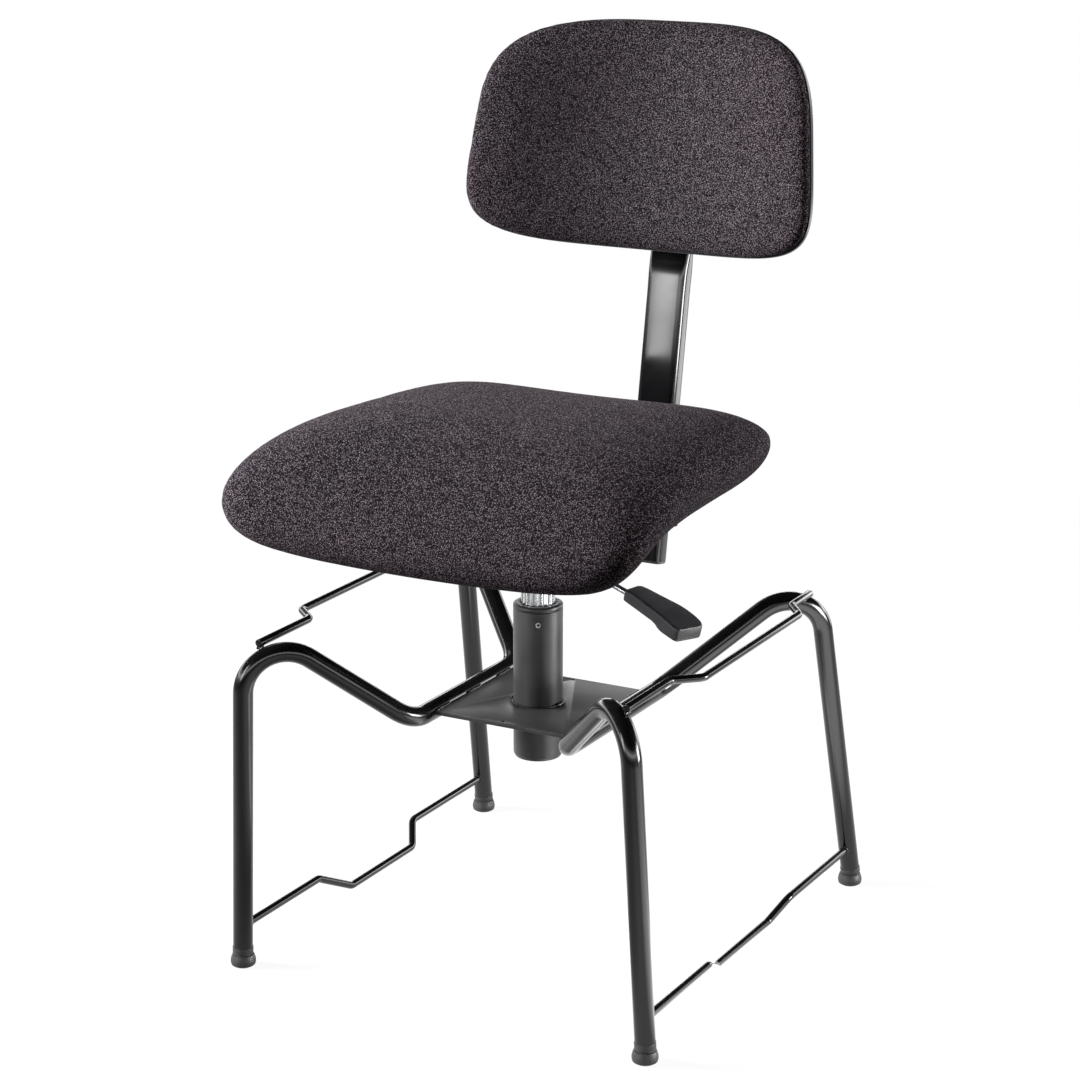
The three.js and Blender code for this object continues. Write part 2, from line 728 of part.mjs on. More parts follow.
// Lever: laid out along its rod, which points out to the sitter's left and down.
const leverTurn = new THREE.Euler(
  0,
  THREE.MathUtils.degToRad(lever.droop),
  THREE.MathUtils.degToRad(-lever.sweep),
  "ZYX",
);

function leverPoint(distance) {
  return v3(distance, 0, 0).applyEuler(leverTurn).add(v3(0, 0, lever.height));
}

function leverRod() {
  const { rodRadius, inner, outer } = lever;
  const bar = rod3(rodRadius, outer - inner, 12).rotateY(Math.PI / 2).translate(inner, 0, 0);
  const tab = new THREE.BoxGeometry(18, 12, 2 * rodRadius).translate(0, 0, 0);
  return join(bar, tab);
}

function leverBush() {
  const wallPoint = leverPoint(lever.pivot);
  const { halfWidth, wall } = housing;
  const inside = -wall - 2;
  const outside = 3.5;
  const middle = (inside + outside) / 2;
  return turned([
    [5.3, inside],
    [5.9, inside],
    [5.9, touch],
    [8.5, touch],
    [8.5, outside],
    [5.3, outside],
    [4.3, middle],
    [5.3, inside],
  ], 20)
    .rotateY(Math.PI / 2)
    .translate(halfWidth, wallPoint.y, wallPoint.z);
}

// Paddle: its side view and its plan, crossed.
function leverPaddle() {
  const { root, length, rootHalfWidth, tipHalfWidth, bore } = paddle;
  const view = new THREE.Shape();
  view.moveTo(0, -4.5);
  view.lineTo(length - 34, -5);
  view.quadraticCurveTo(length - 29, -9.5, length - 20, -9.5);
  view.lineTo(length - 6, -8.8);
  view.quadraticCurveTo(length, -8.5, length, -4);
  view.lineTo(length, 3.5);
  view.quadraticCurveTo(length, 6.3, length - 6, 6.9);
  view.lineTo(10, 8.5);
  view.quadraticCurveTo(2, 8.5, 0, 5);
  view.closePath();
  const plan = new THREE.Shape();
  plan.moveTo(0, -rootHalfWidth);
  plan.lineTo(length - 22, -tipHalfWidth + 1);
  plan.quadraticCurveTo(length - 8, -tipHalfWidth - 0.5, length - 5, -tipHalfWidth + 5);
  plan.lineTo(length, tipHalfWidth - 5);
  plan.quadraticCurveTo(length, tipHalfWidth + 1, length - 12, tipHalfWidth + 1.5);
  plan.lineTo(8, rootHalfWidth + 3);
  plan.quadraticCurveTo(1, rootHalfWidth + 2, 0, rootHalfWidth - 3);
  plan.closePath();
  const settings = { depth: 60, bevelEnabled: false, curveSegments: 5 };
  const thick = new THREE.ExtrudeGeometry(view, settings).rotateX(Math.PI / 2).translate(0, 30, 0);
  const wide = new THREE.ExtrudeGeometry(plan, settings).translate(0, 0, -30);
  const socketBore = rod3(bore, lever.outer - root + 1 + touch, 12).rotateY(Math.PI / 2).translate(-1, 0, 0);
  return cut(overlapOf(thick, wide), socketBore).translate(root, 0, 0);
}

// A point given along the leaning post, in the chair's own directions.
function backPoint(x, y, z) {
  return v3(x, y, z).applyAxisAngle(v3(1, 0, 0), -lean).add(v3(0, backOrigin.y, backOrigin.z));
}

// The post's section at a height: the neck widens as it is pressed flat into the tongue.
function postRing(z, endCut = 0) {
  const { lerp, smoothstep } = THREE.MathUtils;
  const widened = smoothstep(z, neck.flareStart, tongue.start);
  const pressed = smoothstep(z, neck.flatStart, tongue.start);
  const width = lerp(post.width, tongue.width, widened) - 2 * endCut;
  const depth = lerp(post.depth, tongue.depth, pressed);
  const corner = lerp(post.corner, tongue.corner, pressed);
  return roundedOutline(width, depth, corner, 4).map((p) => v3(p.x, p.y, z));
}

// Post: flat-sided oval tube whose upper end is pressed flat into a tongue with cut corners.
function backPost() {
  const neckHeights = Array.from({ length: neck.steps + 1 }, (_, step) =>
    THREE.MathUtils.lerp(tongue.start, neck.flareStart, step / neck.steps),
  );
  const heights = [tongue.top - tongue.endCut, ...neckHeights, post.bottom];
  const rings = [postRing(tongue.top, tongue.endCut), ...heights.map((z) => postRing(z))];
  const body = skin(v3(0, 0, tongue.top), rings, v3(0, 0, post.bottom));
  const twoWalls = 2 * post.wall;
  const inside = roundedOutline(post.width - twoWalls, post.depth - twoWalls, post.corner - post.wall, 3);
  const bore = prism(new THREE.Shape(inside), post.boreTop - post.bottom + 1, post.bottom - 1);
  const holes = backScrewHoles(backScrew.shaft + touch);
  return cut(body, bore, ...holes);
}

function postPlug() {
  const { width, depth, corner, wall, bottom } = post;
  const cap = prism(new THREE.Shape(roundedOutline(width, depth, corner, 4)), 2.5, bottom - touch - 2.5);
  const clear = 2 * (wall + touch);
  const inside = roundedOutline(width - clear, depth - clear, corner - wall - touch, 3);
  return join(cap, prism(new THREE.Shape(inside), 16, bottom - touch - 0.5));
}

function postSleeve() {
  const { width, depth, corner, bottom, top } = sleeve;
  const body = prism(new THREE.Shape(roundedOutline(width, depth, corner, 4)), top - bottom, bottom);
  const lug = rod3(10, 8, 20).rotateX(-Math.PI / 2).translate(0, depth / 2 - 2, clamp.height);
  const opening = roundedOutline(post.width + 2 * slide, post.depth + 2 * slide, post.corner + slide, 4);
  const way = prism(new THREE.Shape(opening), top - bottom + 2, bottom - 1);
  const thread = rod3(clamp.screw + touch, 40, 16).rotateX(-Math.PI / 2).translate(0, 0, clamp.height);
  return cut(join(body, lug), way, thread);
}

function clampScrew() {
  const start = post.depth / 2 + touch + 0.2;
  const end = clamp.knobStart + 11;
  return rod3(clamp.screw, end - start, 16).rotateX(-Math.PI / 2).translate(0, start, clamp.height);
}

// Star knob: a lobed disc with a domed back and a short neck.
function clampKnob() {
  const { knobRadius, knobStart, knobDepth, lobes, screw, height } = clamp;
  const outline = Array.from({ length: lobes * 8 }, (_, i) => {
    const angle = (2 * Math.PI * i) / (lobes * 8);
    const radius = knobRadius - 2.2 + 2.2 * Math.cos(lobes * angle);
    return new THREE.Vector2(radius * Math.cos(angle), radius * Math.sin(angle));
  });
  const star = prism(new THREE.Shape(outline), knobDepth, knobStart);
  const dome = turned([
    [0, knobStart - 1],
    [11, knobStart - 1],
    [knobRadius + 1, knobStart + 4],
    [knobRadius + 1, knobStart + knobDepth - 5],
    [knobRadius - 4, knobStart + knobDepth - 1],
    [0, knobStart + knobDepth - 0.5],
  ], 24);
  const bore = rod3(screw + touch, 13, 16).translate(0, 0, knobStart - 1.5);
  return cut(overlapOf(star, dome), bore).rotateX(-Math.PI / 2).translate(0, 0, height);
}

// Backrest: a shallow shell and a cushion over one curved outline.
function backrestPoint(reach, angle, offset) {
  const edge = superellipse(angle, backrest.bottomSquareness, backrest.topSquareness);
  const nx = reach * edge.x;
  const ny = reach * edge.y;
  const halfWidth = THREE.MathUtils.mapLinear(ny, -1, 1, backrest.bottomHalfWidth, backrest.topHalfWidth);
  const y = backrest.y - backrest.wrap * nx * nx + offset;
  const crest = backrest.crest * Math.max(ny, 0) * (1 - nx * nx);
  return v3(nx * halfWidth, y, backrest.z + ny * backrest.halfHeight + crest);
}

const backrestRing = (reach, offset) =>
  ringAround(backrest.sides, (angle) => backrestPoint(reach, angle, offset));

// Reaches of the rings where the cushion lies on the shell.
const seatingReaches = [1, 0.88, 0.55, 0.3].map((reach) => reach * backrest.cushionInset);

function backScrewHoles(radius) {
  return [backScrew.low, backScrew.high].map((z) =>
    rod3(radius, 40, 14).rotateX(-Math.PI / 2).translate(0, -15, z),
  );
}

function backrestShell() {
  const { shellReach, shellRim, shellBelly } = backrest;
  const bellyAt = (reach) => shellRim + rise(reach, shellBelly, 4);
  const backReaches = [0.3, 0.55, 0.76, 0.9, 0.97];
  const back = backReaches.map((reach) => backrestRing(reach * shellReach, bellyAt(reach)));
  const front = seatingReaches.map((reach) => backrestRing(reach, -1));
  const rim = [backrestRing(shellReach, shellRim), backrestRing(shellReach, -1)];
  const rings = [...back, ...rim, ...front].map((ring) => ring.toReversed());
  return skin(backrestPoint(0, 0, bellyAt(0)), rings, backrestPoint(0, 0, -1), true);
}

function shellWithBoss() {
  const footprint = roundedRectangle(boss.halfWidth, boss.front, boss.back, 4);
  const block = prism(footprint, boss.top - boss.bottom, boss.bottom);
  const slot = prism(
    new THREE.Shape(roundedOutline(tongue.width + 2 * touch, tongue.depth + 2 * touch, tongue.corner, 4)),
    tongue.top + touch - boss.bottom + 5,
    boss.bottom - 5,
  );
  return cut(join(backrestShell(), block), slot, ...backScrewHoles(backScrew.shaft + touch));
}

function backrestCushion() {
  const { cushionInset, cushionRim, cushionCrown } = backrest;
  const crownAt = (reach) => -cushionRim - rise(reach, cushionCrown, 3.2);
  const frontReaches = [0.2, 0.4, 0.58, 0.73, 0.85, 0.93, 0.98];
  const front = frontReaches.map((reach) => backrestRing(reach * cushionInset, crownAt(reach)));
  const rim = backrestRing(cushionInset, -cushionRim);
  const back = seatingReaches.map((reach) => backrestRing(reach, -1 - slide));
  return skin(backrestPoint(0, 0, crownAt(0)), [...front, rim, ...back], backrestPoint(0, 0, -1 - slide));
}

function backScrewAt(z) {
  const { shaft, head, headHeight, length } = backScrew;
  return panHead(shaft, head, headHeight, length)
    .rotateX(Math.PI / 2)
    .translate(0, boss.back + touch + headHeight, z);
}

// Assembly.
const chair = new THREE.Group();
chair.position.set(0, -originY, 0);

const sides = { left: -1, right: 1 };
for (const [name, side] of Object.entries(sides)) {
  chair.add(
    piece(`side_frame_${name}`, sideFrame(side), blackTube),
    piece(`upper_wire_${name}`, upperStackingWire(side), blackTube),
    piece(`lower_wire_${name}`, lowerStackingWire(side), blackTube),
    piece(`foot_front_${name}`, footGlide(side, frontFoot, frontTop), greyPlastic),
    piece(`foot_rear_${name}`, footGlide(side, rearFoot, rearTop), greyPlastic),
  );
}
chair.add(
  piece("cross_plate", crossPlate(), blackSteel),
  piece("column_tube", columnTube(), blackSteel),
  piece("column_floor", columnFloor(), zincSteel),
  piece("guide_bush", guideBush(), blackPlastic),
  piece("piston_rod", pistonRod(), zincSteel),
  piece("rod_washer", rodWasher(), zincSteel),
  piece("rod_clip", rodClip(), zincSteel),
);
pinAngles.forEach((angle, i) => chair.add(piece(`bush_pin_${i + 1}`, bushPin(angle), zincSteel)));

chair.add(
  piece("mast", flutedMast(), aluminium),
  piece("gas_cylinder", gasCylinder(), blackSteel),
  piece("valve_button", valveButton(), greyPlastic),
  piece("mechanism_housing", mechanismHousing(), blackSteel),
  piece("lever_bush", leverBush(), greyPlastic),
  piece("seat_plate", seatPlateSheet(), blackSteel),
  piece("rear_arm", rearArm(), blackSteel),
  piece("seat_shell", seatShell(), board),
  piece("seat_cushion", seatCushion(), fabric),
);
seatScrewPlaces.forEach((place, i) => chair.add(piece(`seat_screw_${i + 1}`, seatScrewAt(place), zincSteel)));

const leverGroup = new THREE.Group();
leverGroup.position.set(0, 0, lever.height);
leverGroup.rotation.copy(leverTurn);
leverGroup.add(piece("lever_rod", leverRod(), zincSteel), piece("lever_paddle", leverPaddle(), blackPlastic));
chair.add(leverGroup);

const backGroup = new THREE.Group();
backGroup.position.set(0, backOrigin.y, backOrigin.z);
backGroup.rotation.x = -lean;
backGroup.add(
  piece("post_sleeve", postSleeve(), greyPlastic),
  piece("clamp_screw", clampScrew(), zincSteel),
  piece("clamp_knob", clampKnob(), blackPlastic),
  piece("back_post", backPost(), blackTube),
  piece("post_plug", postPlug(), blackPlastic),
  piece("backrest_shell", shellWithBoss(), blackPlastic),
  piece("backrest_cushion", backrestCushion(), fabric),
  piece("backrest_screw_low", backScrewAt(backScrew.low), zincSteel),
  piece("backrest_screw_high", backScrewAt(backScrew.high), zincSteel),
);
chair.add(backGroup);

const root = new THREE.Group();
root.add(chair);
export default root;
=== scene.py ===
import bpy
import bmesh
import math
from mathutils import Matrix, Vector
from mathutils.bvhtree import BVHTree


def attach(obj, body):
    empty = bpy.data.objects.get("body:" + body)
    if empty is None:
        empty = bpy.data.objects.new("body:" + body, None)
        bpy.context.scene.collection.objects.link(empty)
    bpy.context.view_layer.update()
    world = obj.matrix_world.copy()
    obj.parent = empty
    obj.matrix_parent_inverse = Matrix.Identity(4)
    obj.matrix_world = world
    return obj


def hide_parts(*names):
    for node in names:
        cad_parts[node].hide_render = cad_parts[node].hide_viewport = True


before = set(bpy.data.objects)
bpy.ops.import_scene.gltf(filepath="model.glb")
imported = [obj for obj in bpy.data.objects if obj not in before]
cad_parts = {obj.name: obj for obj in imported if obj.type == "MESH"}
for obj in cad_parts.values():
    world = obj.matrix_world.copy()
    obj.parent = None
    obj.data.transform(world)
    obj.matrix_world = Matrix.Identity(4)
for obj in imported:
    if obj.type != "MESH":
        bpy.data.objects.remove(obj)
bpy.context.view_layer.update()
print("loaded the packed chair:", len(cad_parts), "nodes")

# The chair is laid out in millimetres from the column's axis; the sitter faces -Y.
originY = 42


def metres(x, y, z):
    return Vector((x, y - originY, z)) / 1000


leanTurn = Matrix.Translation(metres(0, 267.5, 514)) @ Matrix.Rotation(math.radians(-10), 4, "X")
leverTurn = (
    Matrix.Translation(metres(0, 0, 424.2))
    @ Matrix.Rotation(math.radians(-14), 4, "Z")
    @ Matrix.Rotation(math.radians(14), 4, "Y")
)
standing = Matrix.Translation(metres(0, 0, 0))


def srgb(hexColour):
    parts = [int(hexColour[i:i + 2], 16) / 255 for i in (1, 3, 5)]
    return (*[c / 12.92 if c <= 0.04045 else ((c + 0.055) / 1.055) ** 2.4 for c in parts], 1)


white = srgb("#ffffff")


# Sets a node's inputs. A value is a plain one or a socket, or a node, which means its first output.
def feed(tree, node, inputs):
    for key, value in inputs.items():
        if isinstance(value, bpy.types.Node):
            value = value.outputs[0]
        if isinstance(value, bpy.types.NodeSocket):
            tree.links.new(value, node.inputs[key])
        else:
            node.inputs[key].default_value = value


# Inputs 1 to 4 of a MapRange are its from low, from high, to low and to high. The stops are a colour ramp's.
def addNode(tree, kind, inputs=None, stops=(), **settings):
    node = tree.nodes.new("ShaderNode" + kind)
    for key, value in settings.items():
        setattr(node, key, value)
    if stops:
        elements = node.color_ramp.elements
        while len(elements) < len(stops):
            elements.new(0.5)
        for element, (position, colour) in zip(elements, stops):
            element.position = position
            element.color = srgb(colour)
    feed(tree, node, inputs or {})
    return node


def emptyTree(owner):
    owner.use_nodes = True
    owner.node_tree.nodes.clear()
    return owner.node_tree


def newMaterial(name):
    material = bpy.data.materials.new(name)
    tree = emptyTree(material)
    shader = addNode(tree, "BsdfPrincipled")
    addNode(tree, "OutputMaterial", {"Surface": shader})
    place = addNode(tree, "TexCoord").outputs["Object"]
    return material, tree, shader, place


# Powder coat: sprayed polyester powder, baked. Black with a fine orange peel that softens reflections.
def powderCoat(name, look):
    material, tree, shader, place = newMaterial(name)
    peel = addNode(tree, "TexNoise", {"Vector": place, "Scale": 1000 / look["peelMm"], "Detail": 1.5})
    cloud = addNode(tree, "TexNoise", {"Vector": place, "Scale": 1000 / look["cloudMm"], "Detail": 3})
    colour = addNode(tree, "ValToRGB", {0: cloud}, [(0.35, look["colour"]), (0.7, look["worn"])])
    rough = addNode(tree, "MapRange", {
        0: cloud, 1: 0.3, 2: 0.7, 3: look["rough"] - 0.03, 4: look["rough"] + 0.05})
    bump = addNode(tree, "Bump", {"Strength": look["peelStrength"], "Distance": 0.0002, "Height": peel})
    feed(tree, shader, {"Base Color": colour, "Roughness": rough, "Normal": bump, "IOR": 1.5})
    return material


tubeLook = {"colour": "#0a0a0b", "worn": "#0d0d0e", "rough": 0.14, "peelMm": 1.1, "peelStrength": 0.012,
            "cloudMm": 45}
plateLook = {"colour": "#2a2a2b", "worn": "#323233", "rough": 0.36, "peelMm": 0.9, "peelStrength": 0.06,
             "cloudMm": 30}
powderGloss = powderCoat("blackGlossPowderCoat", tubeLook)
powderSatin = powderCoat("blackSatinPowderCoat", plateLook)


# Bright metal: noise stretched along the piece draws faint lines that vary its colour and its gloss.
def drawnMetal(name, look):
    material, tree, shader, place = newMaterial(name)
    stretched = addNode(tree, "Mapping", {"Vector": place, "Scale": (1, 1, look["stretch"])})
    line = addNode(tree, "TexNoise", {
        "Vector": stretched, "Scale": 1000 / look["lineMm"], "Detail": look["detail"]})
    colour = addNode(tree, "ValToRGB", {0: line}, [(0.3, look["dull"]), (look["brightAt"], look["colour"])])
    low, high = look["roughness"]
    rough = addNode(tree, "MapRange", {0: line, 3: low, 4: high})
    feed(tree, shader, {"Base Color": colour, "Roughness": rough, "Metallic": 1})
    if look["relief"]:
        bump = addNode(tree, "Bump", {"Strength": look["relief"], "Distance": 0.0001, "Height": line})
        feed(tree, shader, {"Normal": bump})
    return material


# Zinc is electroplated on drawn bar: bluish white with faint streaks. The mast is extruded, with die lines.
zincLook = {"colour": "#b9bcc0", "dull": "#9a9da1", "brightAt": 0.7, "roughness": (0.22, 0.38),
            "lineMm": 0.7, "stretch": 0.06, "detail": 2, "relief": 0}
mastLook = {"colour": "#eceef0", "dull": "#d2d5d8", "brightAt": 0.65, "roughness": (0.12, 0.24),
            "lineMm": 0.5, "stretch": 0.01, "detail": 1, "relief": 0.15}
zincPlate = drawnMetal("brightZincPlate", zincLook)
mastMetal = drawnMetal("extrudedAluminium", mastLook)


# Moulded plastic: spark-eroded mould, so a fine grain that breaks up the gloss.
def mouldedPlastic(name, look):
    material, tree, shader, place = newMaterial(name)
    grain = addNode(tree, "TexVoronoi", {"Vector": place, "Scale": 1000 / look["grainMm"]})
    cloud = addNode(tree, "TexNoise", {"Vector": place, "Scale": 1000 / look["cloudMm"], "Detail": 2})
    colour = addNode(tree, "ValToRGB", {0: cloud}, [(0.3, look["colour"]), (0.75, look["worn"])])
    rough = addNode(tree, "MapRange", {0: cloud, 3: look["rough"] - 0.05, 4: look["rough"] + 0.06})
    bump = addNode(tree, "Bump", {"Strength": look["grainStrength"], "Distance": 0.0003, "Height": grain})
    feed(tree, shader, {"Base Color": colour, "Roughness": rough, "Normal": bump, "IOR": 1.5})
    return material


paddleLook = {"colour": "#2b2a2d", "worn": "#343337", "rough": 0.42, "grainMm": 0.8, "grainStrength": 0.12,
              "cloudMm": 18}
shellLook = {"colour": "#0c0c0d", "worn": "#121213", "rough": 0.3, "grainMm": 1.0, "grainStrength": 0.1,
             "cloudMm": 60}
footLook = {"colour": "#2b2b2c", "worn": "#323233", "rough": 0.5, "grainMm": 0.9, "grainStrength": 0.1,
            "cloudMm": 9}
bushLook = {"colour": "#19191a", "worn": "#202021", "rough": 0.35, "grainMm": 0.7, "grainStrength": 0.1,
            "cloudMm": 12}
paddlePlastic = mouldedPlastic("grainedPolypropylene", paddleLook)
shellPlastic = mouldedPlastic("mouldedAbsShell", shellLook)
footPlastic = mouldedPlastic("greyPolyamideGlide", footLook)
bushPlastic = mouldedPlastic("blackAcetalBush", bushLook)


# Stained beech plywood: thin cross-laid plies show as bands on its edge.
boardLook = {"colour": "#1b1917", "pale": "#2c2824", "grainMm": 1.111, "along": 0.08, "plyMm": 1.5,
             "rough": 0.55, "relief": 0.2}


def makeBoard(look):
    material, tree, shader, place = newMaterial("stainedBeechPly")
    grainPlace = addNode(tree, "Mapping", {"Vector": place, "Scale": (1, look["along"], 1)})
    grain = addNode(tree, "TexNoise", {"Vector": grainPlace, "Scale": 1000 / look["grainMm"], "Detail": 3})
    plies = addNode(tree, "TexWave", {
        "Vector": place, "Scale": 1000 / look["plyMm"] / 20,  # the node multiplies by 20
        "Distortion": 0.4}, bands_direction="Z")
    both = addNode(tree, "Math", {0: grain, 1: plies.outputs[1]}, operation="MULTIPLY")
    colour = addNode(tree, "ValToRGB", {0: both}, [(0.2, look["colour"]), (0.7, look["pale"])])
    bump = addNode(tree, "Bump", {"Strength": look["relief"], "Distance": 0.0002, "Height": grain})
    feed(tree, shader, {"Base Color": colour, "Roughness": look["rough"], "Normal": bump})
    return material


# Crepe-woven wool: charcoal yarn with a little plum in it. Its tones follow the weave's height: painted shade
# in the hollows, painted highlights as pale specks on the pebbles.
# The real pebble is about 0.8 mm, too fine to show at this size. It is drawn at 1.2 mm, and longer from front
# to back.
fabricLook = {"dark": "#121012", "mid": "#2c282b", "pale": "#4d464c", "paintedSpeckHighlight": "#aca3aa", "pebbleMm": 1.2,
              "round": 0.25, "yarnMm": 0.8, "uneven": (0.4, 0.6), "lengthwise": 0.4, "cool": "#ffffff",
              "warm": "#fffafa", "driftMm": 120, "bump": 0.12, "rough": 0.9, "gloss": 0.02,
              "sheen": 0.03, "sheenRough": 0.45, "sheenTint": "#b9aeb6"}


def makeFabric(look):
    material, tree, shader, place = newMaterial("crepeWovenWool")
    weave = addNode(tree, "Mapping", {"Vector": place, "Scale": (1, look["lengthwise"], 1)})
    pebble = addNode(tree, "TexVoronoi", {
        "Vector": weave, "Scale": 1000 / look["pebbleMm"], "Smoothness": look["round"]}, feature="SMOOTH_F1")
    twist = addNode(tree, "TexNoise", {
        "Vector": weave, "Scale": 1000 / look["yarnMm"], "Detail": 1, "Roughness": 0.6})
    drift = addNode(tree, "TexNoise", {"Vector": place, "Scale": 1000 / look["driftMm"], "Detail": 1})
    low, high = look["uneven"]
    uneven = addNode(tree, "MapRange", {0: twist, 1: 0.3, 2: 0.7, 3: low, 4: high})
    relief = addNode(tree, "Math", {0: uneven, 1: pebble}, operation="SUBTRACT")
    height = addNode(tree, "MapRange", {0: relief, 1: -0.35, 2: 0.6})
    # Yarn tone with painted light: low parts of the weave get painted shade, raised pebbles get painted
    # highlights as pale specks.
    yarnWithPaintedLight = addNode(tree, "ValToRGB", {0: height}, [
        (0.2, look["dark"]), (0.42, look["mid"]), (0.62, look["pale"]), (0.85, look["paintedSpeckHighlight"])])
    tint = addNode(tree, "ValToRGB", {0: drift}, [(0.4, look["cool"]), (0.65, look["warm"])])
    colour = addNode(tree, "Mix", {"Factor": 1, "A": yarnWithPaintedLight, "B": tint}, data_type="RGBA",
                     blend_type="MULTIPLY")
    bump = addNode(tree, "Bump", {"Strength": look["bump"], "Distance": 0.0006, "Height": relief})
    feed(tree, shader, {
        "Base Color": colour.outputs["Result"], "Normal": bump, "Roughness": look["rough"],
        "Specular IOR Level": look["gloss"], "Sheen Weight": look["sheen"],
        "Sheen Roughness": look["sheenRough"], "Sheen Tint": srgb(look["sheenTint"])})
    return material


stainedBoard = makeBoard(boardLook)
crepeWool = makeFabric(fabricLook)
print("materials made")


def circleOutline(radius, sides):
    return [(radius * math.cos(2 * math.pi * i / sides), radius * math.sin(2 * math.pi * i / sides))
            for i in range(sides)]


def roundedOutline(width, depth, corner, steps=8):
    points = []
    for quarter in range(4):
        sx = 1 if quarter in (0, 3) else -1
        sy = 1 if quarter < 2 else -1
        for k in range(steps + 1):
            angle = math.pi / 2 * (quarter + k / steps)
            points.append((sx * (width / 2 - corner) + corner * math.cos(angle),
                           sy * (depth / 2 - corner) + corner * math.sin(angle)))
    return points


# Replaces each corner of a profile by an arc; a point is (radius, height) or (radius, height, fillet).
def softProfile(points, steps=4):
    made = []
    for i, point in enumerate(points):
        fillet = point[2] if len(point) > 2 else 0
        here = Vector(point[:2])
        if not fillet or i in (0, len(points) - 1):
            made.append(tuple(here))
            continue
        before = Vector(points[i - 1][:2]) - here
        after = Vector(points[i + 1][:2]) - here
        reach = min(fillet, before.length * 0.49, after.length * 0.49)
        start = here + before.normalized() * reach
        end = here + after.normalized() * reach
        for k in range(steps + 1):
            t = k / steps
            made.append(tuple((1 - t) ** 2 * start + 2 * t * (1 - t) * here + t * t * end))
    return made


def level(outline, z):
    return [Vector((x, y, z)) for x, y in outline]


def ringsTurned(profile, sides):
    return [level(circleOutline(radius, sides), height) for radius, height in profile]


# Joins rings of equal length. A closed skin runs from its last ring back to its first; an open one is capped.
def skin(rings, closed=False):
    count = len(rings[0])
    mesh = bmesh.new()
    points = [[mesh.verts.new(p / 1000) for p in ring] for ring in rings]
    pairs = list(zip(points, points[1:])) + ([(points[-1], points[0])] if closed else [])
    for a, b in pairs:
        for i in range(count):
            j = (i + 1) % count
            mesh.faces.new((a[i], a[j], b[j], b[i]))
    if not closed:
        mesh.faces.new(points[0][::-1])
        mesh.faces.new(points[-1])
    bmesh.ops.remove_doubles(mesh, verts=mesh.verts, dist=1e-6)
    bmesh.ops.dissolve_degenerate(mesh, edges=mesh.edges, dist=1e-7)
    bmesh.ops.recalc_face_normals(mesh, faces=mesh.faces)
    return mesh


def addObject(name, data):
    made = bpy.data.objects.new(name, data)
    bpy.context.scene.collection.objects.link(made)
    return made


def meshObject(name, mesh, place=standing):
    data = bpy.data.meshes.new(name)
    mesh.transform(place)
    mesh.to_mesh(data)
    mesh.free()
    return addObject(name, data)


# A piece that has the name of a solid replaces it. Where its own name differs, standsFor names the solid.
def addPiece(name, mesh, material, body, place=standing, smooth=35, standsFor=None):
    piece = meshObject(name, mesh, place)
    piece.data.shade_smooth()
    piece.data.set_sharp_from_angle(angle=math.radians(smooth))
    piece.data.materials.append(material)
    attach(piece, body)
    if (standsFor or name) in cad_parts:
        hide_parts(standsFor or name)
    return piece


# Bakes what the modifiers make into the piece's own mesh.
def settle(piece):
    evaluated = piece.evaluated_get(bpy.context.evaluated_depsgraph_get())
    data = bpy.data.meshes.new_from_object(evaluated)
    piece.modifiers.clear()
    piece.data = data


def cutBy(piece, cutters, operation="DIFFERENCE"):
    for cutter in cutters:
        modifier = piece.modifiers.new("cut", "BOOLEAN")
        modifier.operation = operation
        modifier.solver = "EXACT"
        modifier.object = cutter
    settle(piece)
    for cutter in cutters:
        bpy.data.objects.remove(cutter)
    piece.data.set_sharp_from_angle(angle=math.radians(35))


# A centreline of straight runs and round bends: (points, tangents).
def bentPath(corners, radii, steps=14):
    corners = [Vector(c) for c in corners]
    points, tangents = [corners[0]], [(corners[1] - corners[0]).normalized()]
    for i in range(1, len(corners) - 1):
        into = (corners[i] - corners[i - 1]).normalized()
        out = (corners[i + 1] - corners[i]).normalized()
        turn = into.angle(out)
        radius = radii[i - 1]
        inward = (out - into * math.cos(turn)).normalized()
        centre = corners[i] - into * radius * math.tan(turn / 2) + inward * radius
        for k in range(steps + 1):
            angle = turn * k / steps
            points.append(centre - inward * radius * math.cos(angle) + into * radius * math.sin(angle))
            tangents.append(into * math.cos(angle) + inward * math.sin(angle))
    points.append(corners[-1])
    tangents.append((corners[-1] - corners[-2]).normalized())
    return points, tangents


# Rings round a path, carried along without twisting. swell is a list of radii, one for each point.
def ringsAlong(points, tangents, swell, sides):
    side = tangents[0].orthogonal().normalized()
    rings = []
    for point, tangent, radius in zip(points, tangents, swell):
        side = (side - tangent * side.dot(tangent)).normalized()
        other = tangent.cross(side)
        rings.append([point + side * x + other * y for x, y in circleOutline(radius, sides)])
    return rings


def roundRod(corners, radii, radius, sides=28, steps=14, endRound=0):
    points, tangents = bentPath(corners, radii, steps)
    swell = [radius] * len(points)
    if endRound:
        first = [points[0] + tangents[0] * endRound * (1 - math.cos(a)) for a in (0, 0.5, 1.0, 1.57)]
        last = [points[-1] - tangents[-1] * endRound * (1 - math.cos(a)) for a in (1.57, 1.0, 0.5, 0)]
        sizes = [radius - endRound * (1 - math.sin(a)) for a in (0, 0.5, 1.0, 1.57)]
        points = first + points[1:-1] + last
        tangents = [tangents[0]] * 4 + tangents[1:-1] + [tangents[-1]] * 4
        swell = sizes + swell[1:-1] + sizes[::-1]
    return skin(ringsAlong(points, tangents, swell, sides))


# A weld: a bead with the ripple that each weave of the torch leaves.
weldLook = {"stepMm": 0.55, "rippleMm": 2.2, "rippleDepth": 0.35, "sides": 12}


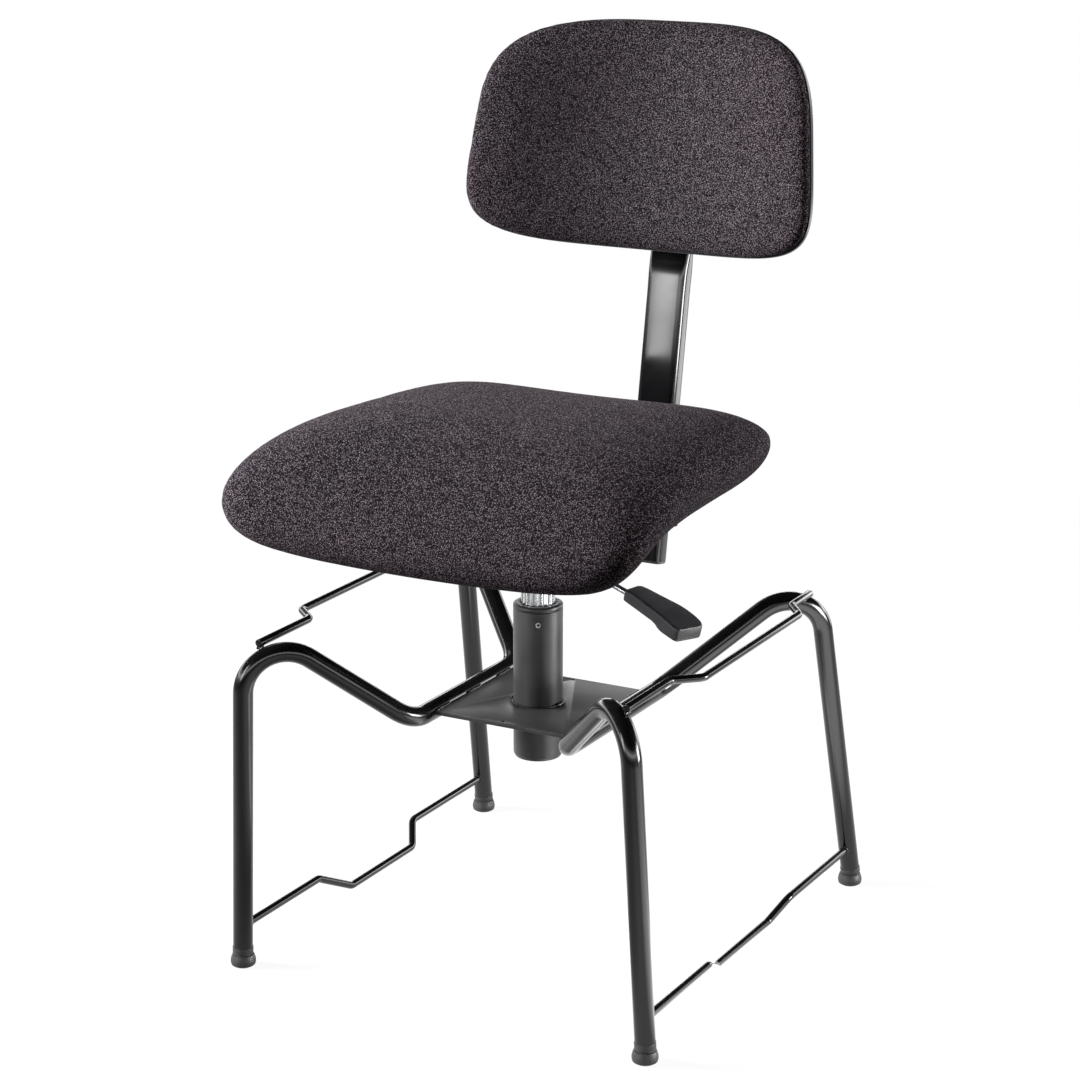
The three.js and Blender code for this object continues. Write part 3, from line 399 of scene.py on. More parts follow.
def weldBead(name, points, radius, loop=False):
    points = [Vector(p) for p in points]
    fine = []
    spans = list(zip(points, points[1:])) + ([(points[-1], points[0])] if loop else [])
    for a, b in spans:
        steps = max(1, round((b - a).length / weldLook["stepMm"]))
        fine += [a.lerp(b, k / steps) for k in range(steps)]
    if not loop:
        fine.append(points[-1])
    travel, swell, tangents = 0, [], []
    for i, p in enumerate(fine):
        if i:
            travel += (p - fine[i - 1]).length
        wave = abs(math.sin(math.pi * travel / weldLook["rippleMm"]))
        taper = 1 if loop else min(1, 0.35 + 0.65 * min(i, len(fine) - 1 - i) / 4)
        swell.append((radius - weldLook["rippleDepth"] * (1 - wave)) * taper)
        ahead = fine[(i + 1) % len(fine)] if loop else fine[min(i + 1, len(fine) - 1)]
        behind = fine[i - 1] if loop or i else fine[0]
        tangents.append((ahead - behind).normalized())
    mesh = skin(ringsAlong(fine, tangents, swell, weldLook["sides"]), closed=loop)
    addPiece(name, mesh, powderGloss, "base", smooth=60)


tube = {"radius": 10, "frontBend": 41.5, "plateBend": 40, "rearBend": 43.5, "low": 19.5}
frontFoot, frontTop = (227.5, -205, 0), (209, -213, 372)
rearFoot, rearTop = (229, 288.5, 0), (210.5, 210, 371)
plateRun = {"x": 85.4, "frontY": -103.5, "rearY": 110, "z": 253}


def legPoint(side, foot, top, height):
    t = height / top[2]
    return Vector((side * (foot[0] + (top[0] - foot[0]) * t), foot[1] + (top[1] - foot[1]) * t, height))


def sideFrame(name, side):
    corners = [
        legPoint(side, frontFoot, frontTop, tube["low"]),
        (side * frontTop[0], *frontTop[1:]),
        (side * plateRun["x"], plateRun["frontY"], plateRun["z"]),
        (side * plateRun["x"], plateRun["rearY"], plateRun["z"]),
        (side * rearTop[0], *rearTop[1:]),
        legPoint(side, rearFoot, rearTop, tube["low"]),
    ]
    radii = [tube["frontBend"], tube["plateBend"], tube["plateBend"], tube["rearBend"]]
    mesh = roundRod(corners, radii, tube["radius"], sides=40, steps=22)
    addPiece(name, mesh, powderGloss, "base")


upperWire = {"frontX": 201, "midX": 225, "rearX": 206, "frontZ": 343, "rearZ": 345.5, "frontY": -200,
             "rearY": 206, "jogs": (-109, -87.5, 135, 159)}
lowerWire = {"z": 43, "inset": 13, "drop": 21, "jogs": (-66.7, -23.3, 101.7, 123.6)}
wire = {"radius": 4, "bend": 12}
wireWeld = {"fromLeg": 10.2, "radius": 4.3, "bow": 0.25, "steps": 18, "bead": 1.3}


def upperStackingWire(name, side):
    w = upperWire

    def at(x, y):
        t = (y - w["frontY"]) / (w["rearY"] - w["frontY"])
        return (side * x, y, w["frontZ"] + (w["rearZ"] - w["frontZ"]) * t)

    a, b, c, d = w["jogs"]
    corners = [at(w["frontX"], w["frontY"]), at(w["frontX"], a), at(w["midX"], b),
               at(w["midX"], c), at(w["rearX"], d), at(w["rearX"], w["rearY"])]
    mesh = roundRod(corners, [wire["bend"]] * 4, wire["radius"], sides=24, steps=8, endRound=0.8)
    addPiece(name, mesh, powderGloss, "base")


def lowerStackingWire(name, side):
    front = legPoint(side, frontFoot, frontTop, lowerWire["z"])
    rear = legPoint(side, rearFoot, rearTop, lowerWire["z"])

    def high(y):
        t = (y - front.y) / (rear.y - front.y)
        return Vector((front.x + (rear.x - front.x) * t, y, lowerWire["z"]))

    def low(y):
        return high(y) - Vector((side * lowerWire["inset"], 0, lowerWire["drop"]))

    a, b, c, d = lowerWire["jogs"]
    corners = [high(front.y + 9), high(a), low(b), low(c), high(d), high(rear.y - 9)]
    mesh = roundRod(corners, [wire["bend"]] * 4, wire["radius"], sides=24, steps=8)
    addPiece(name, mesh, powderGloss, "base")
    for where, leg, sign in (("front", front, 1), ("rear", rear, -1)):
        centre = leg + Vector((0, sign * wireWeld["fromLeg"], 0))
        ring = [centre + Vector((x, sign * wireWeld["bow"] * abs(x) / wireWeld["radius"], z))
                for x, z in circleOutline(wireWeld["radius"], wireWeld["steps"])]
        weldBead(f"weld_{name}_{where}", ring, wireWeld["bead"], loop=True)


foot = {"ball": 13, "neck": 9.6, "collar": 10.5, "standsUnder": 17, "sides": 48}


def footGlide(name, side, ground, top):
    f = foot
    ball = softProfile([
        (0, 0), (9.2, 0, 0.6), (11.2, 1.2, 1), (12.2, 1.9, 0.5), (f["ball"], 5.8, 2.4),
        (f["ball"] - 0.9, 9.8, 2), (f["neck"] + 1.4, 12.8, 1.2), (f["neck"], 13.1, 0.4), (f["neck"], 16.8),
        (0, 16.8)])
    under = legPoint(side, ground, top, f["standsUnder"])
    addPiece(name + "_glide", skin(ringsTurned(ball, f["sides"])), footPlastic, "base",
             Matrix.Translation(metres(under.x, under.y, 0)), standsFor=name)
    along = Vector((side * top[0], top[1], top[2])) - Vector((side * ground[0], ground[1], 0))
    turn = Vector((0, 0, 1)).rotation_difference(along).to_matrix().to_4x4()
    collar = softProfile([
        (0, 14.6), (f["collar"], 14.6, 0.5), (f["collar"], 21, 0.5), (9.2, 21.1), (9.2, 20.6), (0, 20.6)])
    addPiece(name + "_collar", skin(ringsTurned(collar, f["sides"])), footPlastic, "base",
             place=Matrix.Translation(metres(side * ground[0], ground[1], 0)) @ turn)


for sideName, side in (("left", -1), ("right", 1)):
    sideFrame(f"side_frame_{sideName}", side)
    upperStackingWire(f"upper_wire_{sideName}", side)
    lowerStackingWire(f"lower_wire_{sideName}", side)
    footGlide(f"foot_front_{sideName}", side, frontFoot, frontTop)
    footGlide(f"foot_rear_{sideName}", side, rearFoot, rearTop)
    # The upper wire lies on the bends of the legs and is welded there from below.
    for where, y, x in (("front", -197, 200), ("rear", 203, 203)):
        low, high = (338.5, 339.5) if where == "front" else (340.5, 341.5)
        weldBead(f"weld_upper_wire_{sideName}_{where}",
                 [(side * (x + 1), y + step, z) for step, z in ((-6, low), (0, high), (6, low))], radius=1.9)
    for y0, y1, label in ((-74, -46, "front"), (-12, 16, "middle"), (50, 78, "rear")):
        for face, x, z in (("top", 75.3, 256.6), ("under", 75.6, 252.6)):
            seam = [(side * x, y0, z), (side * x, y1, z)]
            weldBead(f"weld_plate_{sideName}_{label}_{face}", seam, radius=2)

plate = {"halfWidth": 75.2, "frontY": -77, "rearY": 81, "bottom": 253, "thickness": 4, "edge": 0.35,
         "hole": 2, "holeInset": 5.5, "bore": 25.1}


def crossPlate():
    p, edge = plate, plate["edge"]
    curve = bpy.data.curves.new("plateShape", "CURVE")
    curve.dimensions = "2D"
    curve.fill_mode = "BOTH"
    curve.extrude = (p["thickness"] / 2 - edge) / 1000
    curve.bevel_depth = edge / 1000
    curve.bevel_resolution = 2
    x, y0, y1 = p["halfWidth"] - edge, p["frontY"] + edge, p["rearY"] - edge
    outlines = [[(-x, y0), (x, y0), (x, y1), (-x, y1)], circleOutline(p["bore"] + edge, 72)]
    for middle in (p["frontY"] + p["holeInset"], p["rearY"] - p["holeInset"]):
        outlines.append([(x, y + middle) for x, y in circleOutline(p["hole"] + edge, 24)])
    for outline in outlines:
        spline = curve.splines.new("POLY")
        spline.points.add(len(outline) - 1)
        for point, (x, y) in zip(spline.points, outline):
            point.co = (x / 1000, y / 1000, 0, 1)
        spline.use_cyclic_u = True
    shape = addObject("plateShape", curve)
    evaluated = shape.evaluated_get(bpy.context.evaluated_depsgraph_get())
    mesh = bmesh.new()
    mesh.from_mesh(bpy.data.meshes.new_from_object(evaluated))
    bpy.data.objects.remove(shape)
    bmesh.ops.remove_doubles(mesh, verts=mesh.verts, dist=1e-6)
    place = Matrix.Translation(metres(0, 0, p["bottom"] + p["thickness"] / 2))
    addPiece("cross_plate", mesh, powderSatin, "base", place, smooth=30)


crossPlate()
column = {"outer": 25, "inner": 22, "bottom": 200, "top": 356, "sides": 96}
pin = {"radius": 3, "height": 344, "firstAngle": 29, "count": 4}


def acrossColumn(k):
    angle = math.radians(pin["firstAngle"] + 360 / pin["count"] * k)
    return (Matrix.Translation(metres(0, 0, pin["height"])) @ Matrix.Rotation(angle, 4, "Z")
            @ Matrix.Rotation(math.radians(90), 4, "X"))


def columnTube():
    c = column
    profile = softProfile([
        (c["inner"], c["bottom"] + 0.6, 0.4), (c["outer"] - 2, c["bottom"], 1),
        (c["outer"], c["bottom"] + 3.4, 3), (c["outer"], c["top"] - 0.1, 0.4),
        (c["inner"] + 0.3, c["top"], 0.2), (c["inner"], c["top"] - 1)])
    mesh = skin(ringsTurned(profile, c["sides"]), closed=True)
    piece = addPiece("column_tube", mesh, powderSatin, "base")
    hole = pin["radius"] + 0.3
    cutBy(piece, [meshObject("tool", skin(ringsTurned([(hole, 20), (hole, 30)], 28)), acrossColumn(k))
                  for k in range(pin["count"])])


columnTube()
for k in range(pin["count"]):
    ring = softProfile([(1.5, 20), (2.8, 20, 0.3), (2.8, 24.4, 0.5), (1.5, 24.2, 0.3), (1.5, 20)])
    mesh = skin(ringsTurned(ring, 28)[:-1], closed=True)
    addPiece(f"bush_pin_{k + 1}", mesh, zincPlate, "base", acrossColumn(k))
for label, z in (("top", 257.6), ("low", 252.4)):
    ring = [(x, y, z) for x, y in circleOutline(25.6, 72)]
    weldBead(f"weld_column_{label}", ring, radius=1.3, loop=True)
    # The torch starts and stops at the sides, which leaves a thicker bead there.
    for sideName, first in (("left", 32), ("right", 68)):
        part = [(x * 1.02, y * 1.02, z + 0.5) for x, y, z in (ring + ring)[first:first + 9]]
        weldBead(f"weld_column_{label}_{sideName}", part, radius=2.6)

mast = {"radius": 17.2, "bore": 14.2, "flutes": 18, "stepsPerFlute": 12, "depth": 1.3, "bottom": 219,
        "top": 412}
fluteSteps = mast["flutes"] * mast["stepsPerFlute"]


def flutedOutline(grow):
    points = []
    for i in range(fluteSteps):
        share = (i % mast["stepsPerFlute"]) / mast["stepsPerFlute"]
        dip = math.sin(math.pi * (share - 0.5) / 0.5) ** 0.6 if share > 0.5 else 0
        radius = mast["radius"] + grow - mast["depth"] * dip
        angle = 2 * math.pi * i / fluteSteps
        points.append((radius * math.cos(angle), radius * math.sin(angle)))
    return points


def mastPiece():
    inner = circleOutline(mast["bore"], fluteSteps)
    top, bottom = mast["top"], mast["bottom"]
    rings = [level(inner, bottom), level(flutedOutline(-0.3), bottom), level(flutedOutline(0), bottom + 0.5),
             level(flutedOutline(0), top - 0.5), level(flutedOutline(-0.3), top), level(inner, top)]
    addPiece("mast", skin(rings, closed=True), mastMetal, "seat", smooth=28)


bush = {"gap": 0.4, "spigot": 21.7, "spigotBottom": 300, "flange": 25, "flangeBottom": 356.3, "top": 361.5}


def guideBush():
    b = bush

    def roundAt(radius, z):
        return level(circleOutline(radius, fluteSteps), z)

    rings = [level(flutedOutline(b["gap"]), b["spigotBottom"]), roundAt(b["spigot"], b["spigotBottom"]),
             roundAt(b["spigot"], b["flangeBottom"]), roundAt(b["flange"] - 0.3, b["flangeBottom"]),
             roundAt(b["flange"], b["flangeBottom"] + 0.4), roundAt(b["flange"], b["top"] - 1.6),
             roundAt(b["flange"] - 0.5, b["top"] - 0.6), roundAt(b["flange"] - 1.6, b["top"]),
             level(flutedOutline(2.2), b["top"]), level(flutedOutline(1.2), b["top"] - 0.4),
             level(flutedOutline(0.5), b["top"] - 1.6)]
    addPiece("guide_bush", skin(rings, closed=True), bushPlastic, "base", smooth=40)


mastPiece()
guideBush()
print("frame, column and mast made")

seat = {
    "frontHalfWidth": 230.3, "rearHalfWidth": 198.3, "centreY": -35.8, "halfDepth": 212.8,
    "frontSquareness": 10.9, "rearSquareness": 5.9, "height": 518.4, "sideLift": 7.2, "waterfall": 43.5,
    "waterfallPower": 4, "cornerLift": 9.3, "rearFall": 8.5, "crown": 46.1, "crownPower": 2.73, "depth": 58.9,
    "depthPower": 4, "frontFullness": 0.067, "underReach": 0.82, "shellReach": 0.72, "shellThickness": 7,
}
cornerPull = 0.11


def superellipse(angle, frontPower, rearPower):
    cos, sin = math.cos(angle), math.sin(angle)
    power = frontPower if sin < 0 else rearPower
    reach = (abs(cos) ** power + abs(sin) ** power) ** (-1 / power)
    return reach * cos, reach * sin


def seatPoint(reach, angle, rise):
    ex, ey = superellipse(angle, seat["frontSquareness"], seat["rearSquareness"])
    nx, ny = reach * ex, reach * ey
    front = max(0, (0.2 - ny) / 1.2)
    halfWidth = seat["frontHalfWidth"] + (seat["rearHalfWidth"] - seat["frontHalfWidth"]) * (ny + 1) / 2
    middle = (seat["height"] + seat["sideLift"] * nx * nx - seat["rearFall"] * ny * ny
              - seat["waterfall"] * front ** seat["waterfallPower"]
              + seat["cornerLift"] * front ** 2 * abs(nx) ** 3)
    fullness = 1 - seat["frontFullness"] * ny
    return Vector((nx * halfWidth, seat["centreY"] + ny * seat["halfDepth"], middle + rise * fullness))


def riseAt(reach, height, power):
    return height * math.sqrt(max(0, 1 - reach ** power))


def roundTheOutline(pointAt, sides=144):
    angles = [2 * math.pi * (i + 0.5) / sides for i in range(sides)]
    return [pointAt(a + cornerPull * math.sin(4 * a)) for a in angles]


seatUnderside = -riseAt(seat["underReach"], seat["depth"], seat["depthPower"])


def seatRing(reach, rise):
    return roundTheOutline(lambda angle: seatPoint(reach, angle, rise))


def foam(name, mesh, body, place, settings):
    piece = addPiece(name, mesh, crepeWool, body, place, smooth=180)
    data = piece.data
    cut = BVHTree.FromPolygons([v.co for v in data.vertices], [list(f.vertices) for f in data.polygons])
    remesh = piece.modifiers.new("even", "REMESH")
    remesh.mode = "VOXEL"
    remesh.voxel_size = settings["voxelMm"] / 1000
    remesh.use_smooth_shade = True
    evener = piece.modifiers.new("evener", "SMOOTH")
    evener.factor = 0.5
    evener.iterations = settings["evenSteps"]
    settle(piece)
    for v in piece.data.vertices:
        v.co = cut.find_nearest(v.co)[0]  # back onto the cut foam: no steps of the grid are left
    piece.data.shade_smooth()
    normals = [v.normal.copy() for v in piece.data.vertices]
    start = [v.co + n * settings["fullerMm"] / 1000 for v, n in zip(piece.data.vertices, normals)]
    smaller = [p - n * settings["startSmallerMm"] / 1000 for p, n in zip(start, normals)]
    for v, p in zip(piece.data.vertices, smaller):
        v.co = p
    cloth = piece.modifiers.new("swell", "CLOTH")
    for key, value in woolCloth.items():
        setattr(cloth.settings, key, value)
    cloth.settings.effector_weights.gravity = 0
    cloth.collision_settings.use_collision = False
    cloth.point_cache.frame_start, cloth.point_cache.frame_end = 1, settings["frames"]
    for step in range(1, settings["frames"] + 1):
        bpy.context.scene.frame_set(step)
    swollen = piece.evaluated_get(bpy.context.evaluated_depsgraph_get()).data
    cap = settings["capMm"] / 1000
    ends = []
    for p, v in zip(start, swollen.vertices):
        move = v.co - p
        if move.length > cap:
            move = move.normalized() * cap
        ends.append(p + move)
    piece.modifiers.clear()
    bpy.context.scene.frame_set(1)
    for v, p in zip(piece.data.vertices, ends):
        v.co = p
    finer = piece.modifiers.new("finer", "SUBSURF")
    finer.levels = finer.render_levels = 1


woolCloth = {"quality": 5, "mass": 0.3, "tension_stiffness": 15, "compression_stiffness": 15,
             "shear_stiffness": 7.5, "bending_stiffness": 2, "use_pressure": True, "uniform_pressure_force": 4}
anyFoam = {"fullerMm": 0.3, "frames": 20, "fill": 0.85}
seatFoam = {**anyFoam, "voxelMm": 6, "evenSteps": 3, "startSmallerMm": 2.0, "capMm": 1.2}
backFoam = {**anyFoam, "voxelMm": 4.5, "evenSteps": 4, "startSmallerMm": 1.5, "capMm": 0.7}


def seatCushion():
    tops = [0.02] + [0.06 * k for k in range(1, 15)] + [0.88, 0.915, 0.945, 0.97, 0.985, 0.995, 0.999]
    rings = [seatRing(r, riseAt(r, seat["crown"], seat["crownPower"])) for r in tops]
    rings.append(seatRing(1, 0))
    sides = [0.999, 0.995, 0.985, 0.965, 0.94, 0.91, 0.87]
    rings += [seatRing(r, -riseAt(r, seat["depth"], seat["depthPower"])) for r in sides]
    rings += [seatRing(r, seatUnderside) for r in (0.82, 0.7, 0.55, 0.4, 0.25, 0.1, 0.02)]
    foam("seat_cushion", skin(rings), "seat", standing, seatFoam)


def seatShell():
    top = seatUnderside - 0.6
    low = top - seat["shellThickness"]
    reach = seat["shellReach"]
    rings = [seatRing(r, top) for r in (0.02, 0.2, 0.4, 0.58, reach)]
    rings += [seatRing(reach + 0.004, top - 1), seatRing(reach + 0.004, low + 1)]
    rings += [seatRing(r, low) for r in (reach, 0.58, 0.4, 0.2, 0.02)]
    addPiece("seat_shell", skin(rings), stainedBoard, "seat", smooth=40)


seatCushion()
seatShell()
print("seat made")

backrest = {
    "y": -42.5, "z": 274.4, "topHalfWidth": 180.5, "bottomHalfWidth": 206.5, "halfHeight": 118,
    "topSquareness": 3.5, "bottomSquareness": 5.2, "wrap": 61, "shellReach": 0.986, "shellRim": 5,
    "crest": 4.7, "shellBelly": 12, "cushionInset": 0.984, "cushionRim": 6, "cushionCrown": 24,
    "crownPower": 5,
}


def backrestPoint(reach, angle, offset):
    ex, ey = superellipse(angle, backrest["bottomSquareness"], backrest["topSquareness"])
    nx, ny = reach * ex, reach * ey
    low, high = backrest["bottomHalfWidth"], backrest["topHalfWidth"]
    halfWidth = low + (high - low) * (ny + 1) / 2
    crest = backrest["crest"] * max(ny, 0) * (1 - nx * nx)
    return Vector((nx * halfWidth, backrest["y"] - backrest["wrap"] * nx * nx + offset,
                   backrest["z"] + ny * backrest["halfHeight"] + crest))


def backrestRing(reach, offset):
    return roundTheOutline(lambda angle: backrestPoint(reach, angle, offset))


def backrestCushion():
    b = backrest
    inset, rim = b["cushionInset"], b["cushionRim"]
    fronts = [0.02] + [0.07 * k for k in range(1, 13)] + [0.88, 0.92, 0.95, 0.975, 0.99, 0.998]
    rings = [backrestRing(r * inset, -rim - riseAt(r, b["cushionCrown"], b["crownPower"])) for r in fronts]
    rings += [backrestRing(inset, -rim), backrestRing(inset, -2.6)]
    rings += [backrestRing(r * inset, -1.5) for r in (0.99, 0.85, 0.7, 0.5, 0.3, 0.1, 0.02)]
    foam("backrest_cushion", skin(rings), "back", leanTurn, backFoam)


boss = {"halfWidth": 31, "back": 9.4, "front": -31, "bottom": 210, "top": 322, "corner": 9}
tongue = {"width": 49, "depth": 10, "corner": 4.5, "start": 205, "top": 306, "gap": 0.4}


def backrestShell():
    b = backrest
    reach, rim = b["shellReach"], b["shellRim"]
    rings = [backrestRing(r * reach, rim + riseAt(r, b["shellBelly"], 4)) for r in
             (0.02, 0.12, 0.24, 0.36, 0.48, 0.6, 0.7, 0.78, 0.85, 0.9, 0.94, 0.97, 0.985, 0.995)]
    rings += [backrestRing(reach, rim - 0.8), backrestRing(reach + 0.0015, rim - 2),
              backrestRing(reach, -0.4), backrestRing(reach - 0.004, -1)]
    rings += [backrestRing(r, -1) for r in (0.9, 0.7, 0.5, 0.3, 0.1, 0.02)]
    shell = addPiece("backrest_shell", skin(rings), shellPlastic, "back",
                     leanTurn, smooth=40)
    middle, w, h = (boss["bottom"] + boss["top"]) / 2, boss["halfWidth"], (boss["top"] - boss["bottom"]) / 2
    outline = roundedOutline(2 * w, 2 * h, boss["corner"])
    blockRings = []
    back = boss["back"]
    for y, shrink in ((boss["front"], 0), (back - 3, 0), (back - 1, 0.7), (back, 2.6)):
        blockRings.append([
            Vector((x * (w - shrink) / w, y, middle + z * (h - shrink) / h)) for x, z in outline])
    block = meshObject("tool", skin(blockRings), leanTurn)
    cutBy(shell, [block], "UNION")
    t, gap = tongue, tongue["gap"]
    slot = roundedOutline(t["width"] + 2 * gap, t["depth"] + 2 * gap, t["corner"])
    slotRings = [level(slot, boss["bottom"] - 20), level(slot, t["top"] + gap)]
    cutBy(shell, [meshObject("tool", skin(slotRings), leanTurn)])


backrestCushion()
backrestShell()

post = {"width": 44.2, "depth": 22.6, "corner": 7, "wall": 1.6, "bottom": -171, "flareStart": 112,
        "flatStart": 132, "flatEnd": 176, "neckSteps": 30}


def smoothShare(z, low, high):
    share = min(1, max(0, (z - low) / (high - low)))
    return share * share * (3 - 2 * share)


# The tube widens as it is pressed flat into the tongue inside the backrest shell.
def backPost():
    p, t = post, tongue

    def ring(width, depth, corner, z):
        return level(roundedOutline(width, depth, corner), z)

    w, d, c, bottom = p["width"], p["depth"], p["corner"], p["bottom"]
    inner = (w - 2 * p["wall"], d - 2 * p["wall"], c - p["wall"])
    rings = [ring(*inner, bottom + 60), ring(*inner, bottom + 0.3), ring(w - 0.6, d - 0.6, c - 0.3, bottom),
             ring(w, d, c, bottom + 0.5)]
    for k in range(p["neckSteps"] + 1):
        z = p["flareStart"] + (t["start"] - p["flareStart"]) * k / p["neckSteps"]
        flare = smoothShare(z, p["flareStart"], t["start"])
        flat = smoothShare(z, p["flatStart"], p["flatEnd"])
        rings.append(ring(w + (t["width"] - w) * flare, d + (t["depth"] - d) * flat,
                          c + (t["corner"] - c) * flat, z))
    rings += [ring(t["width"], t["depth"], t["corner"], t["top"] - 6),
              ring(t["width"] - 3, t["depth"], t["corner"], t["top"] - 2),
              ring(t["width"] - 10, t["depth"] - 0.6, t["corner"], t["top"])]
    addPiece("back_post", skin(rings), powderGloss, "back", leanTurn, smooth=50)


def postPlug():
    p = post
    w, d, c = p["width"], p["depth"], p["corner"]
    z = p["bottom"] - 0.3
    # Each pair is how much narrower than the post the plug is there, and how high above the post's end.
    steps = [(4.4, 15), (3.8, 0), (0.6, 0), (0.2, -0.8), (2, -2.2), (6, -2.5)]
    rings = [level(roundedOutline(w - less, d - less, c - less / 2), z + rise) for less, rise in steps]
    addPiece("post_plug", skin(rings), bushPlastic, "back", leanTurn)


backPost()
postPlug()

sleeve = {"width": 58, "depth": 36.5, "corner": 7, "bottom": -133, "top": -64, "gap": 0.4}
clamp = {"height": -98, "start": 27, "lobes": 6, "lobeDepth": 0.105}
clampCentre = Matrix.Translation((0, 0, clamp["height"] / 1000))
behindSleeve = leanTurn @ clampCentre @ Matrix.Rotation(math.radians(-90), 4, "X")


def postSleeve():
    s = sleeve
    gap = s["gap"]
    inner = (post["width"] + 2 * gap, post["depth"] + 2 * gap, post["corner"] + gap)

    def ring(shrink, z):
        wide, deep = s["width"] - 2 * shrink, s["depth"] - 2 * shrink
        return level(roundedOutline(wide, deep, s["corner"] - shrink), z)

    rings = [level(roundedOutline(*inner), s["bottom"]), ring(1, s["bottom"]), ring(0.3, s["bottom"] + 0.3),
             ring(0, s["bottom"] + 1)]
    for z in (s["bottom"] + 8, s["top"] - 8):  # two shallow grooves round the moulding
        rings += [ring(0, z - 1), ring(0.5, z - 0.5), ring(0.5, z + 0.5), ring(0, z + 1)]
    rings += [ring(0, s["top"] - 1), ring(0.3, s["top"] - 0.3), ring(1, s["top"]),
              level(roundedOutline(*inner), s["top"])]
    piece = addPiece("post_sleeve", skin(rings, closed=True), bushPlastic, "seat",
                     leanTurn, smooth=40)
    lug = softProfile([(0, 12), (10, 12), (10, 22.6, 1), (8.6, 23.6, 0.8), (0, 23.6)])
    cutBy(piece, [meshObject("tool", skin(ringsTurned(lug, 40)), behindSleeve)], "UNION")
    cutBy(piece, [meshObject("tool", skin(ringsTurned([(4.3, 8), (4.3, 40)], 32)), behindSleeve)])


def clampScrew():
    profile = [(0, 11), (3.2, 11), (4, 11.9)]
    for z in range(12, 36):
        profile += [(4, z), (3.45, z + 0.5)]
    profile += [(3.4, 37.5), (0, 37.5)]
    mesh = skin(ringsTurned(profile, 28))
    addPiece("clamp_screw", mesh, zincPlate, "clamp", behindSleeve)


def clampKnob():
    sides = clamp["lobes"] * 16
    rings = []
    # Each station is its radius, its height over the knob's start, and its share of the lobes' depth.
    for radius, z, star in (
            (4.4, 0.6, 0), (11, 0, 0), (11.8, 1, 0.1), (14, 2.4, 0.5), (18.6, 3.4, 0.9), (20.4, 4.6, 1),
            (21, 6.5, 1), (21, 10.5, 1), (20.4, 12.8, 1), (18.4, 14.6, 0.9), (14, 15.6, 0.5),
            (9.6, 15.7, 0.1), (9, 15.1, 0), (0.001, 14.9, 0)):
        ring = []
        for i in range(sides):
            a = 2 * math.pi * i / sides
            r = radius * (1 - star * clamp["lobeDepth"] * (1 - math.cos(clamp["lobes"] * a)))
            ring.append((r * math.cos(a), r * math.sin(a)))
        rings.append(level(ring, clamp["start"] + z))
    addPiece("clamp_knob", skin(rings), paddlePlastic, "clamp", behindSleeve,
             smooth=60)


postSleeve()
clampScrew()
clampKnob()


# Pan-head screw with a hexagon socket, standing on its head's underside at z = 0 and pointing up.
def panScrew(name, sizes, body, place):
    shaft, head, length, face = sizes["shaft"], sizes["head"], sizes["length"], -sizes["headHeight"]
    sides = 48

    def hexagon(across, z):
        ring = []
        for i in range(sides):
            a = 2 * math.pi * i / sides
            r = across / math.cos((a + math.pi / 6) % (math.pi / 3) - math.pi / 6)
            ring.append((r * math.cos(a), r * math.sin(a)))
        return level(ring, z)

    outer = softProfile([
        (head * 0.62, face, 0.3), (head * 0.8, face + 0.2, 1), (head, face * 0.35, 0.6), (head, 0, 0.2),
        (shaft, 0), (shaft, length - 1), (shaft - 0.8, length), (0, length)])
    rings = [hexagon(0.01, face + 1.7), hexagon(head * 0.36, face + 1.6), hexagon(head * 0.36, face + 0.2),
             hexagon(head * 0.4, face)]
    addPiece(name, skin(rings + ringsTurned(outer, sides)), zincPlate, body, place, smooth=30)


seatScrew = {"shaft": 2.8, "head": 5.5, "headHeight": 2.6, "length": 10.4, "under": 449.7}
backScrew = {"shaft": 3, "head": 5.5, "headHeight": 3.2, "length": 17.8, "face": 9.7}
for i, (x, y) in enumerate(((-78, -62), (-78, 96), (78, -62), (78, 96))):
    panScrew(f"seat_screw_{i + 1}", seatScrew, "seat", Matrix.Translation(metres(x, y, seatScrew["under"])))
pointingForward = Matrix.Rotation(math.radians(90), 4, "X")
for name, z in (("low", 248), ("high", 288)):
    behindBoss = leanTurn @ Matrix.Translation((0, backScrew["face"] / 1000, z / 1000))
    panScrew(f"backrest_screw_{name}", backScrew, "back", behindBoss @ pointingForward)

lever = {"rod": 3, "inner": -7, "outer": 164}
paddle = {"root": 124, "corner": 2.4, "slantFrom": 66, "slantTo": 82, "slant": 5}


def leverRod():
    mesh = roundRod([(lever["inner"], 0, 0), (lever["outer"], 0, 0)], [], lever["rod"], endRound=0.6)
    piece = addPiece("lever_rod", mesh, zincPlate, "lever", leverTurn)
    tab = roundedOutline(18, 12, 2.5)  # flattened inner end, which presses the valve
    cutBy(piece, [meshObject("tool", skin([level(tab, -3), level(tab, 3)]), leverTurn)], "UNION")


